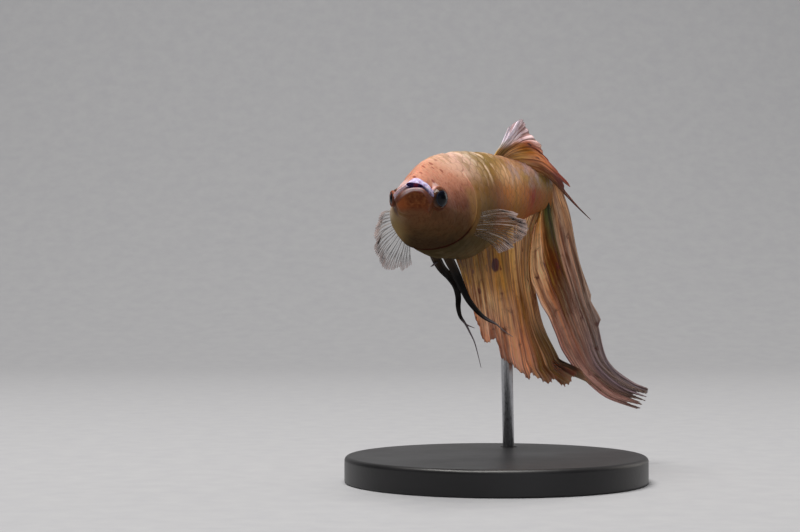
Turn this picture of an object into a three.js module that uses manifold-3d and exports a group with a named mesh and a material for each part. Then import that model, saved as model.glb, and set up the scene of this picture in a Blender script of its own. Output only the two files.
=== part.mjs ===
// A life-size male betta fish, held over a round display stand by one slanted rod.
//
// The fish is modelled straight first: x is towards its left side, y runs back from the tip of the mouth and
// z is up. Its solids are cut apart there, and every vertex is then bent along a curved spine, so that the
// head looks along -Y and the tail swings round to its left (+X). Millimetres, +Z up, with the origin at the
// centre of the stand's underside.
import * as THREE from "three";
import { mergeVertices } from "three/addons/utils/BufferGeometryUtils.js";
import Module from "manifold-3d";

const wasm = await Module();
wasm.setup();

// ---- Driving sizes ----
const GAP = 0.3; // between pieces that meet
const FIN_THICKNESS = 0.5;
const BODY_LENGTH = 49; // tip of the mouth to the rounded end inside the tail fin
const TAIL_CAP = 1.2; // length over which the body's end rounds off
const MOUTH = new THREE.Vector3(-11, -27, 38); // tip of the mouth over the stand
const SPINE_YAW = { head: 8, neck: 19.5, tail: 39.5 }; // degrees: at the snout, then gained in the two bends
const NECK_BEND = [5.5, 15.5]; // stretches of the spine over which it turns, the second inside the tail fin
const TAIL_BEND = [42, 66];
const MUZZLE = { aside: -0.35, along: 1.9, reach: 1.5 }; // the muzzle is set a little to the right
const EYE = { radius: 1.42, side: 2.12, along: 4.35, level: -1.35 };
const STAND = { radius: 20, thickness: 3.5, chamfer: 0.6, rodRadius: 0.8, socketDepth: 2 };

// Along the spine: distance from the mouth, back, belly, half width, level of the widest place, and the power
// of the section's upper half (2 is an ellipse, less is leaner at the shoulders).
const STATIONS = [
  [0.0, 0.0, 0.0, 0.0, 0.0, 2.0],
  [0.5, 0.6, -1.3, 1.55, -0.6, 1.7],
  [1.8, 1.25, -3.1, 2.4, -1.2, 1.6],
  [4.6, 2.25, -5.3, 3.1, -1.9, 1.45],
  [8.0, 3.2, -6.9, 4.25, -2.9, 1.4],
  [12.0, 4.15, -8.0, 5.05, -3.1, 1.6],
  [16.0, 4.8, -8.7, 5.2, -2.6, 1.85],
  [20.0, 5.2, -8.7, 5.0, -1.8, 2.0],
  [26.0, 5.35, -7.3, 4.2, -0.9, 2.0],
  [33.0, 5.1, -5.0, 3.1, 0.0, 2.0],
  [40.0, 4.7, -3.1, 2.1, 0.8, 2.0],
  [45.0, 4.5, -2.2, 1.4, 1.2, 2.0],
  [49.0, 4.5, -1.9, 0.5, 1.3, 2.0],
];

// ---- Curves and numbers ----
const smooth = (from, to, x) => THREE.MathUtils.smoothstep(x, from, to);

// A smooth function through (xs, ys): cubic pieces whose slopes never overshoot the values.
function throughValues(xs, ys) {
  const n = xs.length;
  const rise = xs.slice(1).map((x, i) => (ys[i + 1] - ys[i]) / (x - xs[i]));
  const slope = xs.map((_, i) => {
    if (i === 0) return rise[0];
    if (i === n - 1) return rise[n - 2];
    if (rise[i - 1] * rise[i] <= 0) return 0;
    return (2 * rise[i - 1] * rise[i]) / (rise[i - 1] + rise[i]);
  });
  return (x) => {
    let i = 0;
    while (i < n - 2 && x > xs[i + 1]) i += 1;
    const width = xs[i + 1] - xs[i];
    const t = THREE.MathUtils.clamp((x - xs[i]) / width, 0, 1);
    const lift = ys[i] * (1 + 2 * t) * (1 - t) ** 2 + ys[i + 1] * t * t * (3 - 2 * t);
    return lift + width * (slope[i] * t * (1 - t) ** 2 + slope[i + 1] * t * t * (t - 1));
  };
}

// The profiles are read against the root of the distance, which keeps the snout round.
const rooted = STATIONS.map((row) => Math.sqrt(row[0] / BODY_LENGTH));
const profile = (column) => {
  const read = throughValues(rooted, STATIONS.map((row) => row[column]));
  return (along) => read(Math.sqrt(Math.max(along, 0) / BODY_LENGTH));
};
const back = profile(1);
const belly = profile(2);
const halfWidth = profile(3);
const widest = profile(4);
const shoulder = profile(5);

// A planar curve (x unused) through (along, level) pairs, read from 0 to 1.
function planar(pairs) {
  const points = pairs.map(([along, level]) => new THREE.Vector3(0, along, level));
  const curve = new THREE.CatmullRomCurve3(points);
  return (t) => curve.getPoint(t);
}

// ---- From the straight fish to the bent one ----
function yawAt(along) {
  const turned = SPINE_YAW.neck * smooth(...NECK_BEND, along) + SPINE_YAW.tail * smooth(...TAIL_BEND, along);
  return THREE.MathUtils.degToRad(SPINE_YAW.head + turned);
}

// Points of the spine, added up in short steps from the mouth.
const SPINE_STEP = 0.05;
const SPINE_FROM = -4;
const spine = [];
{
  const steps = Math.round((90 - SPINE_FROM) / SPINE_STEP);
  let [x, y] = [SPINE_FROM * Math.sin(yawAt(0)), SPINE_FROM * Math.cos(yawAt(0))];
  for (let i = 0; i <= steps; i += 1) {
    spine.push([x, y]);
    const yaw = yawAt(SPINE_FROM + (i + 0.5) * SPINE_STEP);
    x += SPINE_STEP * Math.sin(yaw);
    y += SPINE_STEP * Math.cos(yaw);
  }
}

function bent({ x, y, z }) {
  const place = (y - SPINE_FROM) / SPINE_STEP;
  const i = THREE.MathUtils.clamp(Math.floor(place), 0, spine.length - 2);
  const [x0, y0] = spine[i];
  const [x1, y1] = spine[i + 1];
  const yaw = yawAt(y);
  const cx = x0 + (x1 - x0) * (place - i);
  const cy = y0 + (y1 - y0) * (place - i);
  return new THREE.Vector3(cx + x * Math.cos(yaw), cy - x * Math.sin(yaw), z);
}

// ---- Solids and geometries ----
function movedBy(geometry, map) {
  const position = geometry.getAttribute("position");
  const v = new THREE.Vector3();
  for (let i = 0; i < position.count; i += 1) {
    const to = map(v.fromBufferAttribute(position, i));
    position.setXYZ(i, to.x, to.y, to.z);
  }
  return geometry;
}

function solid(geometry) {
  const plain = geometry.clone();
  plain.deleteAttribute("normal");
  plain.deleteAttribute("uv");
  const merged = mergeVertices(plain, 1e-4);
  return new wasm.Manifold(
    new wasm.Mesh({
      numProp: 3,
      vertProperties: new Float32Array(merged.getAttribute("position").array),
      triVerts: new Uint32Array(merged.index.array),
    }),
  );
}

function geometryOf(manifold) {
  const { vertProperties, triVerts } = manifold.getMesh();
  const geometry = new THREE.BufferGeometry();
  geometry.setAttribute("position", new THREE.BufferAttribute(new Float32Array(vertProperties), 3));
  geometry.setIndex(new THREE.BufferAttribute(new Uint32Array(triVerts), 1));
  return geometry;
}

const ellipsoid = (centre, radii) =>
  solid(new THREE.SphereGeometry(1, 28, 14).scale(...radii).translate(...centre));

const block = (low, high) => {
  const size = high.map((h, i) => h - low[i]);
  return solid(new THREE.BoxGeometry(...size).translate(...low.map((l, i) => l + size[i] / 2)));
};

// A wedge that spans the fish from side to side, from its outline of (along, level) points.
function wedge(outline, halfSpan) {
  const shape = new THREE.Shape(outline.map(([along, level]) => new THREE.Vector2(along, level)));
  const geometry = new THREE.ExtrudeGeometry(shape, { depth: 2 * halfSpan, bevelEnabled: false });
  // The shape's own x, y and z become along, level and across.
  return solid(movedBy(geometry, ({ x, y, z }) => new THREE.Vector3(z - halfSpan, x, y)));
}

// ---- The body ----
// A unit sphere stretched along the spine. Each ring is an egg: half width at its widest level, and two
// different heights over and under that level, the upper one leaner on the head. `grow` swells it.
function bodySolid(grow = 0) {
  const length = BODY_LENGTH + 2 * grow;
  const stretch = ({ x, y, z }) => {
    const share = (1 - y) / 2;
    const along = share * BODY_LENGTH;
    const round = Math.max(Math.hypot(x, z), 1e-9);
    const power = z > 0 ? 2 / shoulder(along) : 1;
    const cos = -Math.sign(x) * Math.abs(x / round) ** power;
    const sin = Math.sign(z) * Math.abs(z / round) ** power;
    const tail = Math.max(along - (BODY_LENGTH - TAIL_CAP), 0) / TAIL_CAP;
    const cap = Math.sqrt(Math.max(1 - tail * tail, 0));
    const nose = Math.min(1, Math.sqrt(along / 0.5));
    const middle = widest(along);
    const reach = sin > 0 ? back(along) - middle : middle - belly(along);
    const swell = grow * Math.min(cap * 3, 1) * nose;
    const aside = MUZZLE.aside * Math.exp(-(((along - MUZZLE.along) / MUZZLE.reach) ** 2));
    return new THREE.Vector3(
      (halfWidth(along) * cap + swell) * cos + aside,
      share * length - grow,
      middle + (reach * cap + swell) * sin,
    );
  };
  return solid(movedBy(new THREE.SphereGeometry(1, 26, 30), stretch));
}

const body = bodySolid();
const bodyClear = bodySolid(GAP);

// ---- Parting the body ----
const GILL_EDGE = { centre: [0, 2, -1], radii: [17, 13.3, 8.1] }; // the gill covers' rear edge
const CHEEK_EDGE = { centre: [0, 0, -1], radii: [12, 9.2, 9] }; // where the cheek meets the gill cover
const GILL_SIDE = { inner: 1.6, top: 1.4, bottom: -9.5 };
const TAIL_STEM_FROM = 36;
const wider = (radii, by) => radii.map((r) => r + by);

// Lower jaw: under the gape, which runs back and down from the tip of the mouth, and in front of its corner.
const JAW_HALF_SPAN = 4;
const JAW_FRONT = [-1, 0.3];
const JAW_CORNER = [2.8, -1.9];
const CHIN = [2.1, -4.4];
const JAW = [JAW_FRONT, JAW_CORNER, CHIN, [-1, CHIN[1]]];
const JAW_CLEAR = [
  [JAW_FRONT[0], JAW_FRONT[1] + GAP],
  [JAW_CORNER[0] + 1.5 * GAP, JAW_CORNER[1] + GAP / 2],
  [CHIN[0] + GAP, CHIN[1]],
  [CHIN[0] + GAP, CHIN[1] - 3],
  [JAW_FRONT[0], CHIN[1] - 3],
];

function gillSide(side, grow) {
  const [inner, outer] = [GILL_SIDE.inner - grow, 9];
  const across = side > 0 ? [inner, outer] : [-outer, -inner];
  return block([across[0], 0, GILL_SIDE.bottom - grow], [across[1], 20, GILL_SIDE.top + grow])
    .subtract(ellipsoid(CHEEK_EDGE.centre, wider(CHEEK_EDGE.radii, -grow)));
}

const headWhole = body.intersect(ellipsoid(GILL_EDGE.centre, GILL_EDGE.radii));
const behindHead = body.subtract(ellipsoid(GILL_EDGE.centre, wider(GILL_EDGE.radii, GAP)));

const eyeball = (side, grow = 0) =>
  solid(
    new THREE.SphereGeometry(EYE.radius + grow, 16, 10)
      .rotateZ(Math.PI / 2)
      .translate(side * EYE.side, EYE.along, EYE.level),
  );

function headSolid() {
  let head = headWhole.subtract(wedge(JAW_CLEAR, JAW_HALF_SPAN + GAP));
  for (const side of [1, -1]) {
    head = head.subtract(gillSide(side, GAP)).subtract(eyeball(side, GAP));
  }
  return head;
}

// ---- Fins ----
// A plate bent onto a surface: at(a, b) with a across the rays and b from root to tip.
function plate(at, across, along, thickness = FIN_THICKNESS) {
  const step = 1e-3;
  const clampedAt = (a, b) => at(THREE.MathUtils.clamp(a, 0, 1), THREE.MathUtils.clamp(b, 0, 1));
  return movedBy(new THREE.BoxGeometry(1, 1, 1, across, along, 1), ({ x, y, z }) => {
    const [a, b] = [x + 0.5, y + 0.5];
    const middle = at(a, b);
    const acrossWay = clampedAt(a + step, b).sub(clampedAt(a - step, b));
    const alongWay = clampedAt(a, b + step).sub(clampedAt(a, b - step));
    const normal = acrossWay.cross(alongWay).normalize();
    const thick = typeof thickness === "function" ? thickness(a, b) : thickness;
    return middle.addScaledVector(normal, z * thick);
  });
}

// Points of a ragged edge hang back between the rays' tips by up to `depth` of a ray's length.
const ragged = (a, notches, depth) => 1 - depth * Math.abs(Math.sin(Math.PI * notches * a)) ** 1.5;

// The anal fin's rear edge passes on the right of the tail fin's front edge, and its tip on the left.
const ANAL = {
  from: 18.4, to: 46.2, sag: 5.3, right: 0.95, left: 1.05,
  pleats: 4.5, pleat: 0.6, notches: 6, rag: 0.05,
};
const analTips = planar([
  [22.7, -15.5], [24.2, -17.8], [27.1, -19.9], [31.2, -21.1], [34.3, -22.9], [39.8, -25.2],
  [43.7, -25.5], [47.1, -26.4], [50.1, -26.7], [53.5, -26.6], [57.2, -26.9],
]);
function analAt(a, b) {
  const along = THREE.MathUtils.lerp(ANAL.from, ANAL.to, a);
  const root = new THREE.Vector3(0, along, belly(along) + 0.9);
  const reach = b * ragged(a, ANAL.notches, ANAL.rag);
  const point = root.clone().lerp(analTips(a), reach);
  point.y -= ANAL.sag * a ** 3 * smooth(0, 0.42, b) * (1 - smooth(0.9, 1.01, b));
  const pleated = smooth(0.05, 0.5, a) * (1 - smooth(0.65, 0.95, a));
  const fold = ANAL.pleat * b ** 0.7 * pleated * Math.sin(2 * Math.PI * ANAL.pleats * a);
  const rear = ANAL.left * smooth(0.7, 1, b) - ANAL.right * smooth(0, 0.12, b) * (1 - smooth(0.6, 0.85, b));
  point.x = fold + rear * smooth(0.5, 0.9, a) + (1 - a) ** 2 * b;
  return point;
}

const CAUDAL = { pleats: 3, pleat: 0.65, notches: 9, rag: 0.012, swing: 0.5 };
const caudalTop = planar([
  [47.6, 3.9], [49.3, 3.2], [50.9, 1], [52.6, -2.2], [54, -7],
  [56.3, -13], [58.9, -17.8], [60.7, -23], [64.4, -26], [68, -27.5],
]);
const caudalBottom = planar([
  [47.8, -1.4], [42.9, -4], [41.2, -7.8], [41.4, -11.4], [44.8, -14.9],
  [48.5, -17.9], [51.9, -21.4], [55.6, -25], [60.5, -28.5], [66.8, -30.6],
]);
function caudalAt(a, b) {
  const point = caudalTop(b).lerp(caudalBottom(b), a * ragged(b, CAUDAL.notches, CAUDAL.rag));
  const open = smooth(0.02, 0.4, b) * (1 - 0.6 * b ** 3);
  point.x = CAUDAL.pleat * open * (1 - smooth(0.8, 1, a)) * Math.sin(2 * Math.PI * CAUDAL.pleats * a);
  point.x += CAUDAL.swing * smooth(0, 0.1, b) * (1 - 2 * smooth(0.5, 0.72, b));
  return point;
}

const DORSAL = { from: 30, to: 34.2, arch: 3.3, lean: 1.9, pleats: 2.5, pleat: 0.4, notches: 5, rag: 0.07 };
const dorsalTips = planar([
  [34.4, 9.4], [37.6, 10.4], [39.9, 9.5], [41, 8], [43.9, 6.2], [47.4, 4.4], [50.9, 1.6], [55.6, -3],
]);
function dorsalAt(a, b) {
  const along = THREE.MathUtils.lerp(DORSAL.from, DORSAL.to, a);
  const root = new THREE.Vector3(0, along, back(along) - 0.7);
  const point = root.clone().lerp(dorsalTips(a), b * ragged(a, DORSAL.notches, DORSAL.rag));
  const arch = DORSAL.arch * a ** 1.3 * (1 - 0.5 * smooth(0.65, 1, a));
  point.z += arch * Math.sin(Math.PI * b ** 0.9);
  const fold = DORSAL.pleat * b * Math.sin(2 * Math.PI * DORSAL.pleats * a);
  point.x = fold + DORSAL.lean * smooth(0.05, 0.5, b) * (0.2 + 0.8 * a);
  return point;
}

// The fans of the breast fins: rays spread from a short upright base, longest in the middle.
const PECTORAL = {
  along: 14.4, level: -4.5, side: 4.5, baseHeight: 2.1, notches: 6, rag: 0.06,
  left: { upper: 29, lower: -6, length: 8.3, out: 0.68, back: 0.73, droop: 2, shift: 0.1, spread: 0.9 },
  right: { upper: 26, lower: -78, length: 7.4, out: 0.95, back: 0.2, droop: 2.4, shift: 0.36, spread: 0.6 },
};
function pectoralAt(side, a, b) {
  const { upper, lower, length, out, back: swept, droop, shift, spread } =
    side > 0 ? PECTORAL.left : PECTORAL.right;
  const angle = THREE.MathUtils.degToRad(THREE.MathUtils.lerp(upper, lower, a));
  const fanned = 0.5 + 0.5 * Math.sin(Math.PI * (shift + spread * a));
  const ray = length * fanned * ragged(a, PECTORAL.notches, PECTORAL.rag);
  const way = new THREE.Vector3(side * out, swept, 0).multiplyScalar(Math.cos(angle));
  way.add(new THREE.Vector3(0, 0.25 * Math.abs(Math.sin(angle)), Math.sin(angle)));
  const base = PECTORAL.level + PECTORAL.baseHeight * (0.5 - a);
  const point = new THREE.Vector3(side * PECTORAL.side, PECTORAL.along, base).addScaledVector(way, ray * b);
  point.y += 0.6 * b * b + 0.22 * Math.sin(6 * Math.PI * a) * b;
  point.z -= droop * (Math.cos(angle) * b) ** 2;
  return point;
}

// The belly fins: narrow ribbons that sweep back under the fish, with their flat sides to the front left.
const PELVIC = { baseWidth: 1.4, tipWidth: 0.55, thickness: 0.6, facing: new THREE.Vector3(-0.45, 0.89, 0) };
const pelvicPaths = {
  left: [
    [0.6, 14.6, -7.6], [0.6, 16.1, -8.9], [0.8, 17.3, -10.3],
    [1.2, 17.6, -11.4], [1.7, 17.8, -12.6], [2.2, 18.3, -13.9],
    [2.6, 19.8, -15.2], [2.9, 21.7, -16.2], [3.2, 24.3, -17],
  ],
  right: [
    [-1.1, 14.8, -7.8], [-1.1, 16, -8.9], [-1.1, 17.4, -9.9],
    [-1.05, 19.4, -10.9], [-1, 21.1, -12.1], [-0.9, 21.6, -13.5],
    [-0.8, 21.4, -14.8], [-0.7, 21.8, -16], [-0.5, 22.9, -17],
  ],
};
function pelvicSolid(which) {
  const path = new THREE.CatmullRomCurve3(pelvicPaths[which].map((p) => new THREE.Vector3(...p)));
  const width = (b) => THREE.MathUtils.lerp(PELVIC.baseWidth, PELVIC.tipWidth, b ** 0.8);
  const at = (a, b) => {
    const across = path.getTangent(b).cross(PELVIC.facing).normalize();
    return path.getPoint(b).addScaledVector(across, width(b) * (0.5 - a));
  };
  return solid(plate(at, 2, 18, PELVIC.thickness));
}

// ---- The straight pieces, then bent ----
const fin = (geometry) => solid(geometry).subtract(bodyClear);
const largest = (manifold) => manifold.decompose().reduce((a, b) => (a.volume() > b.volume() ? a : b));

const straight = {
  head: headSolid(),
  lower_jaw: body.intersect(wedge(JAW, JAW_HALF_SPAN)),
  gill_cover_left: headWhole.intersect(gillSide(1, 0)),
  gill_cover_right: headWhole.intersect(gillSide(-1, 0)),
  trunk: behindHead.intersect(block([-9, 5, -15], [9, TAIL_STEM_FROM - GAP / 2, 15])),
  tail_stem: behindHead.intersect(block([-9, TAIL_STEM_FROM + GAP / 2, -15], [9, 60, 15])),
  eye_left: eyeball(1),
  eye_right: eyeball(-1),
  dorsal_fin: fin(plate(dorsalAt, 19, 9)),
  anal_fin: fin(plate(analAt, 30, 9)),
  caudal_fin: fin(plate(caudalAt, 16, 16)),
  pectoral_fin_left: fin(plate((a, b) => pectoralAt(1, a, b), 15, 4)),
  pectoral_fin_right: fin(plate((a, b) => pectoralAt(-1, 1 - a, b), 15, 4)),
  pelvic_fin_left: pelvicSolid("left").subtract(bodyClear),
  pelvic_fin_right: pelvicSolid("right").subtract(bodyClear),
};

// ---- Materials ----
const finish = (color, roughness, metalness = 0, extra = {}) =>
  new THREE.MeshStandardMaterial({ color, roughness, metalness, ...extra });
const skin = finish(0xc77a4e, 0.42);
const face = finish(0xb4633f, 0.42);
const flank = finish(0xc99a70, 0.4);
const eyeMaterial = finish(0x14110f, 0.1);
const finMaterial = finish(0xb06a4c, 0.5);
const clearFin = finish(0xb9a79c, 0.45, 0, { transparent: true, opacity: 0.7 });
const darkFin = finish(0x2a1c19, 0.5);
const standBlack = finish(0x1b1b1d, 0.45);
const standSteel = finish(0xb8babc, 0.3, 1);

const materials = {
  head: skin,
  lower_jaw: face,
  gill_cover_left: face,
  gill_cover_right: face,
  trunk: flank,
  tail_stem: flank,
  eye_left: eyeMaterial,
  eye_right: eyeMaterial,
  dorsal_fin: finMaterial,
  anal_fin: finMaterial,
  caudal_fin: finMaterial,
  pectoral_fin_left: clearFin,
  pectoral_fin_right: clearFin,
  pelvic_fin_left: darkFin,
  pelvic_fin_right: darkFin,
};

function mesh(name, geometry, material) {
  geometry.computeVertexNormals();
  const made = new THREE.Mesh(geometry, material);
  made.name = name;
  return made;
}

const model = new THREE.Group();
const fish = new THREE.Group();
fish.position.copy(MOUTH);
model.add(fish);
for (const [name, manifold] of Object.entries(straight)) {
  fish.add(mesh(name, movedBy(geometryOf(largest(manifold)), bent), materials[name]));
}

// ---- The stand ----
// The rod rises from a socket in the base to the right flank of the tail stem, behind the anal fin.
const rodTop = bent(new THREE.Vector3(-1.5, 37, -1.2)).add(MOUTH);
const rodFoot = bent(new THREE.Vector3(-3.4, 42.8, 0)).add(MOUTH);
rodFoot.z = STAND.thickness - STAND.socketDepth + GAP;

function rodGeometry(radius, from, to, sides = 20) {
  const way = to.clone().sub(from);
  const turn = new THREE.Quaternion().setFromUnitVectors(new THREE.Vector3(0, 1, 0), way.clone().normalize());
  return new THREE.CylinderGeometry(radius, radius, way.length(), sides)
    .applyQuaternion(turn)
    .translate(...from.clone().addScaledVector(way, 0.5).toArray());
}

const up = rodTop.clone().sub(rodFoot).normalize();
const bodyClearBent = solid(movedBy(geometryOf(bodyClear), bent).translate(...MOUTH.toArray()));
const rod = largest(solid(rodGeometry(STAND.rodRadius, rodFoot, rodTop)).subtract(bodyClearBent));
const socket = solid(
  rodGeometry(
    STAND.rodRadius + GAP,
    rodFoot.clone().addScaledVector(up, -GAP),
    rodFoot.clone().addScaledVector(up, 2 * STAND.thickness),
  ),
);

const { radius, thickness, chamfer } = STAND;
const baseOutline = [
  [0, 0], [radius - chamfer / 2, 0], [radius, chamfer / 2],
  [radius, thickness - chamfer], [radius - chamfer, thickness], [0, thickness],
].map(([r, z]) => new THREE.Vector2(r, z));
const base = solid(new THREE.LatheGeometry(baseOutline, 40).rotateX(Math.PI / 2)).subtract(socket);

model.add(mesh("stand_base", geometryOf(base), standBlack));
model.add(mesh("stand_rod", geometryOf(rod), standSteel));

export default model;
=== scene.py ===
# %% [markdown]
# # A betta fish on a display stand
# This lesson dresses a plain solid model of a small fish: a long-finned male betta that swims towards us,
# held on a stand. The solids give every place and size. Over them we lay one skin, a coat of scales, wet
# eyes and thin fins with rays, all worked out as surfaces with numpy.
#
# The solids are loaded first, as a frame that nothing here moves.

# %% Load the frame
from types import SimpleNamespace

import bpy
import numpy as np
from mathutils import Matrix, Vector


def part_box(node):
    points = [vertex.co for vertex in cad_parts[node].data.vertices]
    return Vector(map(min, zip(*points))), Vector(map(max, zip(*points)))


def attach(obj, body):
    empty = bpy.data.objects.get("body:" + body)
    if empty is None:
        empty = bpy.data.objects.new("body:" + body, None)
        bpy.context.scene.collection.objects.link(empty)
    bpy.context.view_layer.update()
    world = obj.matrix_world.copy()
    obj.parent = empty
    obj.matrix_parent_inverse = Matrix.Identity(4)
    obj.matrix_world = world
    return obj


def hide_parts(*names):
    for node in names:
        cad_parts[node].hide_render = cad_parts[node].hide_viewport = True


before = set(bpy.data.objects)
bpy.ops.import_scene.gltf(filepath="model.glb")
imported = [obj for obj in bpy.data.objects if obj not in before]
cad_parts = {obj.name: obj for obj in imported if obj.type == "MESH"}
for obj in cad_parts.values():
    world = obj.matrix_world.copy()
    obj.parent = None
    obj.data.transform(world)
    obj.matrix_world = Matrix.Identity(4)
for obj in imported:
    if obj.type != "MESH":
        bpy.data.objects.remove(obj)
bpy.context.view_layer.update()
print("nodes:", ", ".join(sorted(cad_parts)))

# %% [markdown]
# ## Curves and numbers
# Shapes are worked out in millimetres and go into the meshes in metres. A few small helpers make nearly all
# of them: a soft step, a bell, and smooth functions through a few chosen values.

# %% Soft steps, bells and smooth functions
MM = 0.001
TINY = 1e-12  # keeps a length of nothing from dividing


def smooth(low, high, x):
    """Rises from 0 at low to 1 at high as 3t^2 - 2t^3, with t the share of the way."""
    t = np.clip((np.asarray(x, float) - low) / (high - low), 0, 1)
    return t * t * (3 - 2 * t)


def fall(low, high, x):
    """The soft step the other way: 1 at low, 0 at high."""
    return 1 - smooth(low, high, x)


def bell(x, centre, width):
    """exp(-((x - centre) / width)^2): 1 at the centre, fading on both sides."""
    return np.exp(-(((x - centre) / width) ** 2))


def bells(x, table):
    """The sum of height * bell(x, centre, width) over a table of (height, centre, width)."""
    return sum(height * bell(x, centre, width) for height, centre, width in table)


def unit(vectors):
    """Each vector over its own length."""
    return vectors / np.maximum(np.linalg.norm(vectors, axis=-1, keepdims=True), TINY)


def through_values(xs, ys):
    """Cubic pieces through (xs, ys). Each inner slope is the harmonic mean of its neighbours' slopes, or 0
    where they disagree in sign, so the curve never overshoots its values."""
    xs, ys = np.asarray(xs, float), np.asarray(ys, float)
    rise = np.diff(ys) / np.diff(xs)
    product = rise[:-1] * rise[1:]
    total = rise[:-1] + rise[1:]
    inner = np.where(product > 0, 2 * product / np.where(product > 0, total, 1), 0)
    slope = np.concatenate([rise[:1], inner, rise[-1:]])

    def read(x):
        i = np.clip(np.searchsorted(xs, x, side="right") - 1, 0, len(xs) - 2)
        width = xs[i + 1] - xs[i]
        t = np.clip((x - xs[i]) / width, 0, 1)
        values = ys[i] * (1 + 2 * t) * (1 - t) ** 2 + ys[i + 1] * t * t * (3 - 2 * t)
        return values + width * (slope[i] * t * (1 - t) ** 2 + slope[i + 1] * t * t * (t - 1))

    return read


def lerp(one, other, share):
    """one + (other - one) * share"""
    return one + (other - one) * share


def through_points(points):
    """A Catmull-Rom curve through points, read from 0 to 1: each piece's end slopes are half the step between
    the points on either side."""
    p = np.asarray(points, float)
    p = np.vstack([2 * p[0] - p[1], p, 2 * p[-1] - p[-2]])
    count = len(p) - 3

    def read(t):
        u = np.clip(np.asarray(t, float), 0, 1) * count
        i = np.minimum(u.astype(int), count - 1)
        f = (u - i)[..., None]
        a, b, c, d = p[i], p[i + 1], p[i + 2], p[i + 3]
        square, cube = 2 * a - 5 * b + 4 * c - d, 3 * b - a - 3 * c + d
        return 0.5 * (2 * b + (c - a) * f + square * f**2 + cube * f**3)

    return read


# %% [markdown]
# ## The spine
# The fish is easier to shape straight and then bend, as a sculptor bends a wire core. A place on the
# straight fish is (side, along, level): towards its left, back from the mouth, and up. The spine turns a
# little at the neck and much more inside the tail fin. The two eyes of the frame tell where the mouth is and
# which way the head looks.

# %% Find the head in the frame
EYE = {"side": 2.12, "along": 4.35, "level": -1.35, "radius": 1.42}

eye_left, eye_right = [np.mean(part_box(f"eye_{side}"), axis=0) / MM for side in ("left", "right")]
head_yaw = np.arctan2(-(eye_left - eye_right)[1], (eye_left - eye_right)[0])
between_eyes = (eye_left + eye_right) / 2
head_way = np.array([np.sin(head_yaw), np.cos(head_yaw), 0])
mouth = between_eyes - EYE["along"] * head_way - np.array([0, 0, EYE["level"]])
print("mouth at", mouth.round(2), "mm, head turned by", np.degrees(head_yaw).round(1), "degrees")

# %% Bend straight places along the spine
YAW_GAINED = {"neck": 19.5, "tail": 39.5}  # degrees
NECK_BEND = (5.5, 15.5)
TAIL_BEND = (42, 66)
SPINE_ENDS = (-4, 90)
SPINE_STEP = 0.05


def yaw_at(along):
    """The head's yaw, plus a soft step at the neck and another in the tail."""
    gained = YAW_GAINED["neck"] * smooth(*NECK_BEND, along) + YAW_GAINED["tail"] * smooth(*TAIL_BEND, along)
    return head_yaw + np.radians(gained)


spine_along = np.arange(*SPINE_ENDS, SPINE_STEP)
spine_yaw = yaw_at(spine_along + SPINE_STEP / 2)
spine_x = np.cumsum(np.sin(spine_yaw)) * SPINE_STEP
spine_y = np.cumsum(np.cos(spine_yaw)) * SPINE_STEP
spine_x -= np.interp(0, spine_along, spine_x)
spine_y -= np.interp(0, spine_along, spine_y)


def bend(places):
    """spine(along) + side * (cos yaw, -sin yaw) + level * up, from the mouth."""
    side, along, level = np.moveaxis(np.asarray(places, float), -1, 0)
    yaw = yaw_at(along)
    x = np.interp(along, spine_along, spine_x) + side * np.cos(yaw)
    y = np.interp(along, spine_along, spine_y) - side * np.sin(yaw)
    return np.stack([x, y, level], -1) + mouth


print("tail fin's root at", bend([0, 48, 1]).round(1), "mm")

# %% [markdown]
# ## Camera
# The fish is seen from just in front and a little below its mouth, with a long lens.

# %% Place the camera
CAMERA_FROM_MOUTH = (-1.67, -250, -9.52)  # mm
SENSOR, LENS = 36, 94.5  # mm

camera = bpy.data.objects.new("camera", bpy.data.cameras.new("camera"))
camera.data.sensor_width = SENSOR
camera.data.lens = LENS
camera.data.clip_start = 0.01
camera.location = (mouth + CAMERA_FROM_MOUTH) * MM
camera.rotation_euler = (np.pi / 2, 0, 0)
bpy.context.collection.objects.link(camera)
bpy.context.scene.camera = camera

# %% [markdown]
# ## From arrays to meshes
# Two kinds of surface cover everything: rings with a pole at each end, for bodies, and a sheet with two
# faces and a rim, for fins. Both are closed, with their faces outwards, and both carry their straight places
# or ray numbers as attributes, which the materials read.

# %% Make closed meshes from grids
def new_object(name, places, faces, attributes):
    """A smooth mesh object from millimetre points, faces and {attribute: one vector per point}."""
    mesh = bpy.data.meshes.new(name)
    mesh.from_pydata((places * MM).tolist(), [], faces)
    mesh.shade_smooth()
    for key, vectors in attributes.items():
        layer = mesh.attributes.new(key, "FLOAT_VECTOR", "POINT")
        layer.data.foreach_set("vector", np.ascontiguousarray(vectors, np.float32).ravel())
    made = bpy.data.objects.new(name, mesh)
    bpy.context.collection.objects.link(made)
    print(f"{name}: {len(mesh.vertices)} points, {len(mesh.polygons)} faces")
    return made


def flat(grid):
    """A grid of vectors as one list of vectors."""
    return grid.reshape(-1, grid.shape[-1])


def ring_faces(rings, around):
    """Quads between neighbouring rings, and fans of triangles at the two poles, which come last."""
    index = np.arange(rings * around).reshape(rings, around)
    after = np.roll(index, -1, 1)
    quads = np.stack([index[:-1], index[1:], after[1:], after[:-1]], -1).reshape(-1, 4)
    first, last = rings * around, rings * around + 1
    front = np.stack([np.full(around, first), index[0], after[0]], -1)
    rear = np.stack([np.full(around, last), after[-1], index[-1]], -1)
    return quads.tolist() + front.tolist() + rear.tolist()


def ringed(name, rings, attributes, poles):
    """A closed body from rings (rings, around, 3) and its two pole points."""
    places = np.vstack([flat(rings), poles])
    extra = {key: np.vstack([flat(grid), ends]) for key, (grid, ends) in attributes.items()}
    return new_object(name, places, ring_faces(*rings.shape[:2]), extra)


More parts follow.
